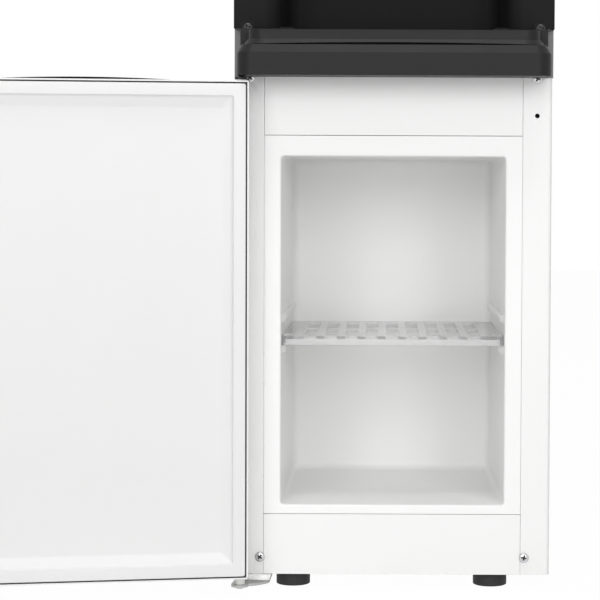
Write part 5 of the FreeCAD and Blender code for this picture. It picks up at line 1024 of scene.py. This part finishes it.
@dataclass
class Screws(Assembly):
    """Pan-head cross-recess screws on the cabinet's front."""

    radius: float = 4.7 * MM
    height: float = 2.4 * MM
    shank: float = 1.9 * MM
    depth: float = 6.0 * MM
    lower_inset: float = 25.0 * MM
    upper_inset: float = 14.7 * MM
    fall: float = 0.62
    power: float = 2.6
    arm_width: float = 0.17
    arm_edge: float = 0.05
    arm_reach: float = 0.66
    arm_end: float = 0.3
    recess: float = 0.75
    lower_turn: float = 0.35
    upper_turn: float = 0.1
    fascia_turn: float = 0.4
    # painted shade at the head's rim and round the shank: a contact shadow
    rim_grime: tuple[float, float, float] = (0.35, 0.8, 0.9)

    def head(self, name: str, centre: Point, turn: float) -> bpy.types.Object:
        """One domed head with its cross recess and a stub of shank.

        Height over the plate at (x, y) is the dome h * (1 - fall * (r / R)^power) lessened
        by a recess whose depth falls off across each arm and towards the arm's end.

        Args:
            name: Name of the piece.
            centre: Point under the head, on the face it is driven into.
            turn: Angle of the cross.

        Returns:
            The linked object.
        """
        r = np.concatenate([np.linspace(0.02, 0.94, 26), [0.98, 1.0, 1.0]]) * self.radius
        t = turns(72)
        grid_r, grid_t = np.meshgrid(r, t, indexing="ij")
        x, y = grid_r * np.cos(grid_t), grid_r * np.sin(grid_t)
        dome = self.height * (1.0 - self.fall * (grid_r / self.radius) ** self.power)
        u = np.abs(x * math.cos(turn) + y * math.sin(turn)) / self.radius
        v = np.abs(-x * math.sin(turn) + y * math.cos(turn)) / self.radius
        long_arm, short_arm = np.maximum(u, v), np.minimum(u, v)
        across = np.clip((self.arm_width - short_arm) / self.arm_edge, 0.0, 1.0)
        along = np.clip((self.arm_reach - long_arm) / self.arm_end, 0.0, 1.0)
        cross = across * along
        rise = dome - cross * self.recess * self.height
        rise[-1] = 0.0
        front = np.stack([centre[0] + x, centre[1] - rise, centre[2] + y], axis=-1)
        circle = self.shank * np.column_stack([np.cos(t), np.sin(t)])
        shank = upright(circle, centre[1], centre[0], centre[2])
        deep = shank + np.array([0.0, self.depth, 0.0])
        # painted shade: the cross recess is marked dark, standing in for the shadow inside it
        grime = np.clip(cross * 1.3, 0.0, 1.0)
        grime[-3:] = np.array(self.rim_grime)[:, None]
        piece = rings_object(name, np.concatenate([front, shank[None], deep[None]]))
        self.mark(piece, np.concatenate([grime.ravel(), np.full(2 * len(t), self.rim_grime[-1])]))
        return piece

    @staticmethod
    def mark(piece: bpy.types.Object, grime: np.ndarray) -> None:
        """Store how much painted shade each point gets, for the finish to read."""
        layer = piece.data.attributes.new("grime", "FLOAT", "POINT")
        layer.data.foreach_set("value", grime.astype(np.float32))

    def build(self) -> None:
        """Four bright screws on the flanges and two black ones under the fascia."""
        side_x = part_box("side_panel_right")[1].x
        low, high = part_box("cabinet_screws")
        face = low.y + self.height
        rows = [
            (side_x - self.lower_inset, low.z + self.radius, self.lower_turn),
            (side_x - self.upper_inset, high.z - self.radius, self.upper_turn),
        ]
        for i, (x, z, turn) in enumerate(rows):
            for side in SIDES:
                name = f"cabinet_screw_{i}{int(side > 0)}"
                piece = self.head(name, (side * x, face, z), turn + side)
                self.add(piece, "chrome", "cabinet_screws")
        low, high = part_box("fascia_screws")
        for side in SIDES:
            place = (side * (high.x - self.radius), low.y + self.height, (low.z + high.z) / 2)
            piece = self.head(f"fascia_screw_{int(side > 0)}", place, self.fascia_turn)
            self.add(piece, "black_enamel", "fascia_screws")


@dataclass
class HolePlug(Assembly):
    """White snap-in plug that closes the bumper hole on the hinge side."""

    inset: float = 14.6 * MM
    drop: float = 31.7 * MM
    radius: float = 2.8 * MM
    stem: float = 2.1 * MM
    rise: float = 0.4 * MM
    reach: float = 2.5 * MM

    def build(self) -> None:
        """Turn the plug's profile about an axis along Y: (x, z) is r (cos t, sin t)."""
        place_x = self.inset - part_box("side_panel_right")[1].x
        place_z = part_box("door_outer_shell")[1].z - self.drop
        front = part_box("front_top_panel")[0].y
        profile = eased(
            [(0.0, -self.rise), (self.radius, -self.rise), (self.radius, 0.0), (self.stem, 0.0)],
            [0.8 * self.rise, 0.1 * self.rise],
            5,
        )
        profile = np.concatenate([profile, [(self.stem, self.reach), (0.0, self.reach)]])
        t = turns(32)
        radius, depth = profile[:, :1], profile[:, 1:]
        x, z = place_x + radius * np.cos(t), place_z + radius * np.sin(t)
        y = np.broadcast_to(front + depth, x.shape)
        plug = rings_object("hole_plug", np.stack([x, y, z], axis=-1), Caps.NONE)
        self.add(plug, "white_plastic")


@dataclass
class Feet(Assembly):
    """Four levelling feet with a rounded sole and a ribbed grip."""

    radius: float = 16.75 * MM
    ribs: int = 36
    groove: float = 0.25 * MM
    fade: float = 2.0 * MM
    sole_ease: float = 1.0 * MM
    top_ease: float = 0.6 * MM

    def build(self) -> None:
        """Turn the profile and ripple its side: r = R - g (1 - cos(n t)) / 2."""
        low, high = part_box("feet")
        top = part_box("base_plate")[0].z
        profile = eased(
            [(0.0, 0.0), (self.radius, 0.0), (self.radius, top), (0.0, top)],
            [self.sole_ease, self.top_ease],
            5,
        )
        t = turns(self.ribs * 6)
        radius, height = profile[:, :1], profile[:, 1:]
        middle = np.clip(np.minimum(height, top - height) / self.fade, 0.0, 1.0)
        ripple = self.groove * middle * (1.0 - np.cos(self.ribs * t)) / 2
        reach = np.maximum(radius - ripple * (radius > 0.9 * self.radius), 0.0)
        z = np.broadcast_to(height, reach.shape)
        for i, side_x in enumerate(SIDES):
            for j, side_y in enumerate(SIDES):
                x = side_x * (high.x - self.radius) + reach * np.cos(t)
                y = side_y * (high.y - self.radius) + reach * np.sin(t)
                piece = rings_object(f"foot_{i}{j}", np.stack([x, y, z], axis=-1), Caps.NONE)
                self.add(piece, "black_rubber", *(("feet",) if i + j == 0 else ()))


@dataclass
class Shelf(Assembly):
    """Clear slotted shelf with painted shade along its edges, where clear plastic looks dark."""

    def build(self) -> None:
        """Round the moulding's edges and paint shade on them with a darker, less clear copy of the
        clear finish.
        """
        piece = self.soften("shelf", Edge.MOULDING)
        piece.data.materials.append(self.palette.materials["clear_edge"])
        # painted shade: the rounded edges take the dark copy
        piece.modifiers["edges"].material = 1


@dataclass
class Tray(Assembly):
    """Drip tray with a bevelled rim, and its lift-out grille."""

    crease: float = 24.0

    def build(self) -> None:
        """Round both mouldings' edges, the rim's shallow bevel among them."""
        self.soften("drip_tray", Edge.TRIM, self.crease)
        self.soften("drip_grille", Edge.FOLD, self.crease)


@dataclass
class Fascia(Assembly):
    """Glossy front moulding that turns back into the taps' niche.

    Its plan is one eased line across the front, offset by the wall for its hidden side.
    """

    overlap: float = 1.0 * MM
    proud: float = 11.0 * MM
    wall: float = 2.5 * MM
    flange: float = 28.5 * MM
    slant: float = 2.2 * MM
    cheek: float = 51.0 * MM
    splay: float = 8.0 * MM
    niche: float = 72.0 * MM
    edge: float = 3.0 * MM
    shoulder: float = 20.0 * MM
    corner: float = 14.0 * MM
    mouth_gap: float = 0.5 * MM
    tongue_gap: float = 6.0 * MM
    tongue: float = 64.0 * MM
    boss_inset: float = 12.7 * MM
    boss: tuple[float, float, float] = (14.0 * MM, 1.0 * MM, 12.0 * MM)
    tab: float = 5.0 * MM
    ease: float = 0.7 * MM
    run_in: float = 0.4
    strip_width: float = 7.7 * MM
    strip_return: float = 4.0 * MM
    strip_skin: float = 0.6 * MM
    strip_gap: float = 0.03 * MM
    half_w: float = field(init=False, default=0.0)
    front: float = field(init=False, default=0.0)
    boss_corner: float = 1.2 * MM
    boss_edge: tuple[float, float] = (0.5 * MM, 0.15 * MM)

    def line(self, grow: float) -> np.ndarray:
        """Plan line from the left outer edge through the niche to the right outer edge.

        Args:
            grow: How far the line is moved into the wall.

        Returns:
            Array of shape (points, 2).
        """
        out, face = self.half_w + self.overlap - grow, self.front - self.proud + grow
        inner = self.half_w - self.cheek + grow
        right = [
            (out, self.front),
            (out, face),
            (self.half_w - self.flange / 2, face + self.slant),
            (inner + self.splay, face + 2 * self.slant),
            (inner, self.front + self.niche + grow),
        ]
        shoulders = [2 * self.shoulder - grow, self.shoulder - grow]
        radii = [self.edge - grow, *shoulders, self.corner + grow]
        left = [(-x, y) for x, y in right]
        return eased(left + right[::-1], radii + radii[::-1], 24)

    def build(self) -> None:
        """Sweep the wall upwards, then add the floor and the two screw bosses."""
        low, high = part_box("fascia_niche")
        self.half_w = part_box("side_panel_right")[1].x
        self.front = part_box("front_top_panel")[0].y
        z0, z1 = low.z + self.tab, high.z
        seen, hidden = (self.line(grow) for grow in (0.0, self.wall))
        edges = [(self.run_in, z0), (0.0, z0), (0.0, z1), (self.run_in, z1)]
        heights = eased(edges, [self.ease, self.ease], 5)
        share = np.clip(np.minimum(heights[:, 1] - z0, z1 - heights[:, 1]) / self.ease, 0.0, 1.0)
        pulled = 1.0 - np.sqrt(share * (2.0 - share))
        middle = (seen + hidden) / 2
        rings = []
        for z, amount in zip(heights[:, 1], pulled):
            mix = amount * 0.5
            outer, inner = (line + (middle - line) * mix for line in (seen, hidden))
            rings.append(laid(np.concatenate([outer, inner[::-1]]), z))
        stack = np.array(rings)
        count, around, _ = stack.shape
        faces = quads(count, around, True)
        for base in (0, (count - 1) * around):
            half = around // 2
            i = np.arange(half - 1)
            faces += (base + np.stack([i, i + 1, around - 2 - i, around - 1 - i], axis=-1)).tolist()
        wall = mesh_object("fascia_wall", stack.reshape(-1, 3), faces)
        self.add(wall, "black_gloss", "fascia_niche")
        self.floor(seen, z0)
        for side in SIDES:
            self.screw_boss(side, low.z)
            # painted shade: grey sheets over the white flanges beside the tray
            self.strip(side, z0)

    def floor(self, seen: np.ndarray, z0: float) -> None:
        """Niche floor with the slot that the tray's tongue slides under.

        Args:
            seen: The fascia's plan line.
            z0: The fascia's lower edge.
        """
        start = self.front - self.proud + 2 * self.slant
        bay = seen[(seen[:, 1] >= start) & (np.abs(seen[:, 0]) < self.half_w - self.cheek + self.splay)]
        reach = self.half_w - self.cheek - self.tongue_gap + self.mouth_gap
        back = self.front + self.tongue + self.mouth_gap
        mouth = np.array([(reach, bay[-1, 1]), (reach, back), (-reach, back), (-reach, bay[0, 1])])
        plan = np.concatenate([bay, mouth])
        rings = np.array([laid(plan, z) for z in (z0, z0 + self.wall)])
        self.add(rings_object("niche_floor", rings), "black_gloss", "fascia_niche")

    def strip(self, side: float, z1: float) -> None:
        """Grey angle over the casing's front corner, beside the drip tray: a grey sheet that paints the
        shade falling on the white flange there.

        Args:
            side: -1 on the left and 1 on the right.
            z1: Height of its upper end.
        """
        width, back, skin, gap = self.strip_width, self.strip_return, self.strip_skin, self.strip_gap
        plan = np.array(
            [
                (self.half_w - width, self.front - skin),
                (self.half_w + skin, self.front - skin),
                (self.half_w + skin, self.front + back),
                (self.half_w + gap, self.front + back),
                (self.half_w + gap, self.front - gap),
                (self.half_w - width, self.front - gap),
            ]
        )
        plan[:, 0] *= side
        z0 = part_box("drip_tray")[0].z
        rings = np.array([laid(plan, z) for z in (z0, z1)])
        # painted shade: this grey sheet stands in for the shadow on the white flange
        piece = rings_object(f"side_strip_{int(side > 0)}", rings)
        self.add(piece, "trim_grey")

    def screw_boss(self, side: float, z0: float) -> None:
        """Small eased block behind the fascia's lower corner.

        Args:
            side: -1 on the left and 1 on the right.
            z0: Height of its lower end.
        """
        width, setback, height = self.boss
        ring = rounded_ring(width / 2, height / 2, [self.boss_corner] * 4, 6)
        y0 = self.front - self.proud + setback
        x0, z_mid = side * (self.half_w - self.boss_inset), z0 + height / 2
        rings = []
        full, part = self.boss_edge
        for y, inset in ((y0, full), (y0 + part, part), (y0 + full, 0.0), (self.front, 0.0)):
            scale = 1.0 - 2.0 * inset / np.array([width, height])
            rings.append(upright(ring * scale, y, x0, z_mid))
        piece = rings_object(f"screw_boss_{int(side > 0)}", np.array(rings))
        self.add(piece, "black_gloss", "fascia_niche")


@dataclass
class Seat(Assembly):
    """White funnel that an upturned bottle rests in."""

    body: str = "bottle_seat"
    hole: float = 78.0 * MM
    clearance: float = 0.4 * MM
    throat: float = 30.0 * MM
    depth: float = 46.0 * MM
    flange: float = 9.0 * MM
    rise: float = 12.0 * MM
    wall: float = 3.0 * MM
    cone: float = 25.3 * MM
    probe: float = 11.0 * MM
    eases: tuple[float, ...] = (3.0, 1.0, 0.5, 1.2, 1.4, 1.4, 6.0, 2.0, 0.4)

    def build(self) -> None:
        """Turn the funnel's closed profile about the upright axis."""
        low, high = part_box("bottle_seat")
        centre = ((low.x + high.x) / 2, (low.y + high.y) / 2, high.z - self.rise)
        r, t, throat = self.hole - self.clearance, self.wall, self.throat
        corners = [
            (throat + t, -self.depth),
            (throat + t, -self.cone - t),
            (r, 0.0),
            (self.hole + self.flange, 0.0),
            (self.hole + self.flange, t),
            (r - t, self.rise),
            (r - 2 * t, self.rise),
            (throat, -self.cone),
            (throat, t - self.depth),
            (self.probe, t - self.depth),
            (self.probe, -self.depth),
        ]
        profile = eased(corners, [radius * MM for radius in self.eases], 5)
        piece = turned_object("seat_funnel", profile, centre, 96)
        self.add(piece, "white_plastic", "bottle_seat")


@dataclass
class Condenser(Assembly):
    """Black serpentine tube behind the casing."""

    width: float = 232.0 * MM
    runs: int = 7
    pitch: float = 80.0 * MM
    bend: float = 28.0 * MM
    tail_bend: float = 10.0 * MM
    radius: float = 2.35 * MM

    def build(self) -> None:
        """Carry a circle along straight runs joined by eased bends.

        Each bend is the quarter or half circle that touches both of its runs.
        """
        low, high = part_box("condenser_tube")
        y = high.y - self.radius
        z0 = low.z + self.radius
        x = self.width / 2
        route = [(x, low.y, z0)]
        for run in range(self.runs):
            side = 1.0 if run % 2 == 0 else -1.0
            z = z0 + run * self.pitch
            route += [(side * x, y, z), (-side * x, y, z)]
        route.append((route[-1][0], low.y, route[-1][2]))
        points = np.array(route)
        parts = [points[:1]]
        last = len(points) - 2
        for i in range(1, len(points) - 1):
            radius = self.tail_bend if i in (1, last) else self.bend
            parts.append(self.corner(points[i - 1], points[i], points[i + 1], radius))
        parts.append(points[-1:])
        piece = tube_object("serpentine", np.concatenate(parts), self.radius, 14)
        self.add(piece, "black_enamel", "condenser_tube")

    @staticmethod
    def corner(
        before: np.ndarray, point: np.ndarray, after: np.ndarray, radius: float
    ) -> np.ndarray:
        """Points of the quarter circle that rounds a square corner in space.

        A point is the centre minus radius times (cos t * outward + sin t * inward).

        Args:
            before: Previous point of the route.
            point: The corner.
            after: Next point of the route.
            radius: Radius of the bend.

        Returns:
            Array of shape (13, 3).
        """
        inward = (before - point) / np.linalg.norm(before - point)
        outward = (after - point) / np.linalg.norm(after - point)
        centre = point + (inward + outward) * radius
        t = np.linspace(0.0, math.pi / 2, 13)[:, None]
        return centre - radius * (np.cos(t) * outward + np.sin(t) * inward)


@dataclass
class Casing(Assembly):
    """Painted sheets, head, cover, taps and rear fittings with eased edges."""

    edges: dict[Edge, tuple[str, ...]] = field(
        default_factory=lambda: {
            Edge.FOLD: (
                "side_panel_left",
                "side_panel_right",
                "front_top_panel",
                "plinth_panel",
                "lower_hinge_plate",
                "upper_hinge_plate",
                "compressor_cover",
                "back_panel",
                "hot_lock_button",
                "switch_cooling",
                "switch_heating",
                "cord_gland",
            ),
            Edge.TRIM: (
                "tap_plate",
                "tap_hot_body",
                "tap_cold_body",
                "tap_hot_lever",
                "tap_cold_lever",
                "switch_plate",
                "drain_cap",
                "feed_probe",
                "indicator_lenses",
            ),
            Edge.MOULDING: ("head_shell", "top_cover"),
        }
    )

    def build(self) -> None:
        """Round the edges of each visible piece."""
        for edge, nodes in self.edges.items():
            for node in nodes:
                self.soften(node, edge)


# ---------------------------------------------------------------- studio
@dataclass(frozen=True)
class Lamp:
    """Soft square lamp: where it stands, the point it faces, its side and its watts."""

    name: str
    place: Point
    aim: Point
    size: float
    power: float

    def build(self) -> None:
        """Add the lamp, tilted and turned so that it faces its aim."""
        data = bpy.data.lights.new(self.name, "AREA")
        data.shape = "SQUARE"
        data.size = self.size
        data.energy = self.power
        lamp = linked(self.name, data)
        lamp.location = self.place
        direction = np.asarray(self.aim) - np.asarray(self.place)
        flat = math.hypot(direction[0], direction[1])
        tilt = math.pi / 2 + math.atan2(direction[2], flat)
        lamp.rotation_euler = (tilt, 0.0, math.atan2(-direction[0], direction[1]))


LAMPS: tuple[Lamp, ...] = (
    Lamp("left_key", (-1.25, -3.0, 1.25), (0.0, 0.0, 0.35), 1.0, 15.0),
    Lamp("right_key", (1.25, -3.0, 1.25), (0.0, 0.0, 0.35), 1.0, 15.0),
    Lamp("front_fill", (0.0, -2.8, 1.0), (0.0, 0.0, 0.7), 2.6, 26.0),
    Lamp("top_light", (0.0, -0.75, 2.7), (0.0, -0.1, 0.5), 1.2, 22.0),
)


@dataclass
class Studio:
    """Camera, floor and pale surroundings."""

    distance: float = 2.0
    focal_pixels: float = 2043.0
    eye: Point = (-0.0152, 0.0, 0.417)
    vanishing: tuple[float, float] = (378.0, 165.0)
    pitch: float = 2.0
    roll: float = -0.25
    sensor: float = 36.0
    backdrop: float = 1.0
    fill: float = 0.27
    floor_glow: float = 0.98
    floor_half: float = 6.0
    floor_points: int = 9
    floor_drop: float = 0.0004
    floor_tones: tuple[Colour, Colour] = ((0.93, 0.93, 0.93), (0.9, 0.9, 0.9))
    clip: float = 0.05

    def camera(self) -> None:
        """Place the camera so that depth lines meet at the photograph's vanishing point."""
        data = bpy.data.cameras.new("camera")
        data.sensor_width = self.sensor
        data.lens = self.focal_pixels * self.sensor / PHOTO_PIXELS
        drop = self.focal_pixels * math.tan(math.radians(self.pitch))
        centre = PHOTO_PIXELS / 2
        data.shift_x = (centre - self.vanishing[0]) / PHOTO_PIXELS
        data.shift_y = (self.vanishing[1] + drop - centre) / PHOTO_PIXELS
        data.clip_start = self.clip
        camera = linked("camera", data)
        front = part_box("front_top_panel")[0].y
        camera.location = (self.eye[0], front - self.distance, self.eye[2])
        camera.rotation_euler = (math.radians(90.0 - self.pitch), math.radians(self.roll), 0.0)
        bpy.context.scene.camera = camera

    def surroundings(self) -> None:
        """Even world light, seen as plain white by the camera and in reflections."""
        world = bpy.data.worlds.new("surroundings")
        g = Graph("surroundings", world)
        strength = g.lit_directly() * (self.backdrop - self.fill) + self.fill
        sky = {"Color": (1.0, 1.0, 1.0, 1.0), "Strength": strength}
        light = g.node("ShaderNodeBackground", None, sky)
        g.node("ShaderNodeOutputWorld", None, {"Surface": light})
        bpy.context.scene.world = world

    def floor(self) -> None:
        """Pale floor whose lit parts look white and whose shadows stay."""
        count = self.floor_points
        line = np.linspace(-self.floor_half, self.floor_half, count)
        u, v = np.meshgrid(line, line, indexing="ij")
        points = np.stack([u, v, np.full(u.shape, -self.floor_drop)], axis=-1).reshape(-1, 3)
        piece = mesh_object("floor", points, quads(count, count, False))
        g = Graph("pale_floor")
        tone = g.blend(g.noise(3.0, 2.0) * 0.2, *self.floor_tones)
        diffuse = g.node("ShaderNodeBsdfDiffuse", None, {"Color": tone})
        glow = g.node("ShaderNodeEmission", None, {"Color": (1.0, 1.0, 1.0, 1.0), "Strength": 1.0})
        seen = g.lit_directly() * self.floor_glow
        mixed = g.node("ShaderNodeMixShader", None, {0: seen, 1: diffuse, 2: glow})
        g.node("ShaderNodeOutputMaterial", None, {"Surface": mixed})
        piece.data.materials.append(g.material)

    def build(self) -> None:
        """Set up everything around the object."""
        bpy.context.scene.view_settings.view_transform = "Standard"
        self.camera()
        self.surroundings()
        self.floor()
        for lamp in LAMPS:
            lamp.build()
        LOG.info("studio ready")


def main() -> None:
    """Build every sub-assembly in order."""
    logging.basicConfig(level=logging.INFO, format="%(message)s")
    palette = Palette(FINISHES)
    palette.dress_frame()
    assemblies: list[Assembly] = [
        CabinetLiner(palette),
        Door(palette),
        Screws(palette),
        HolePlug(palette),
        Feet(palette),
        Shelf(palette),
        Tray(palette),
        Fascia(palette),
        Seat(palette),
        Condenser(palette),
        Casing(palette),
    ]
    for assembly in assemblies:
        assembly.build()
    Studio().build()


if __name__ == "__main__":
    main()
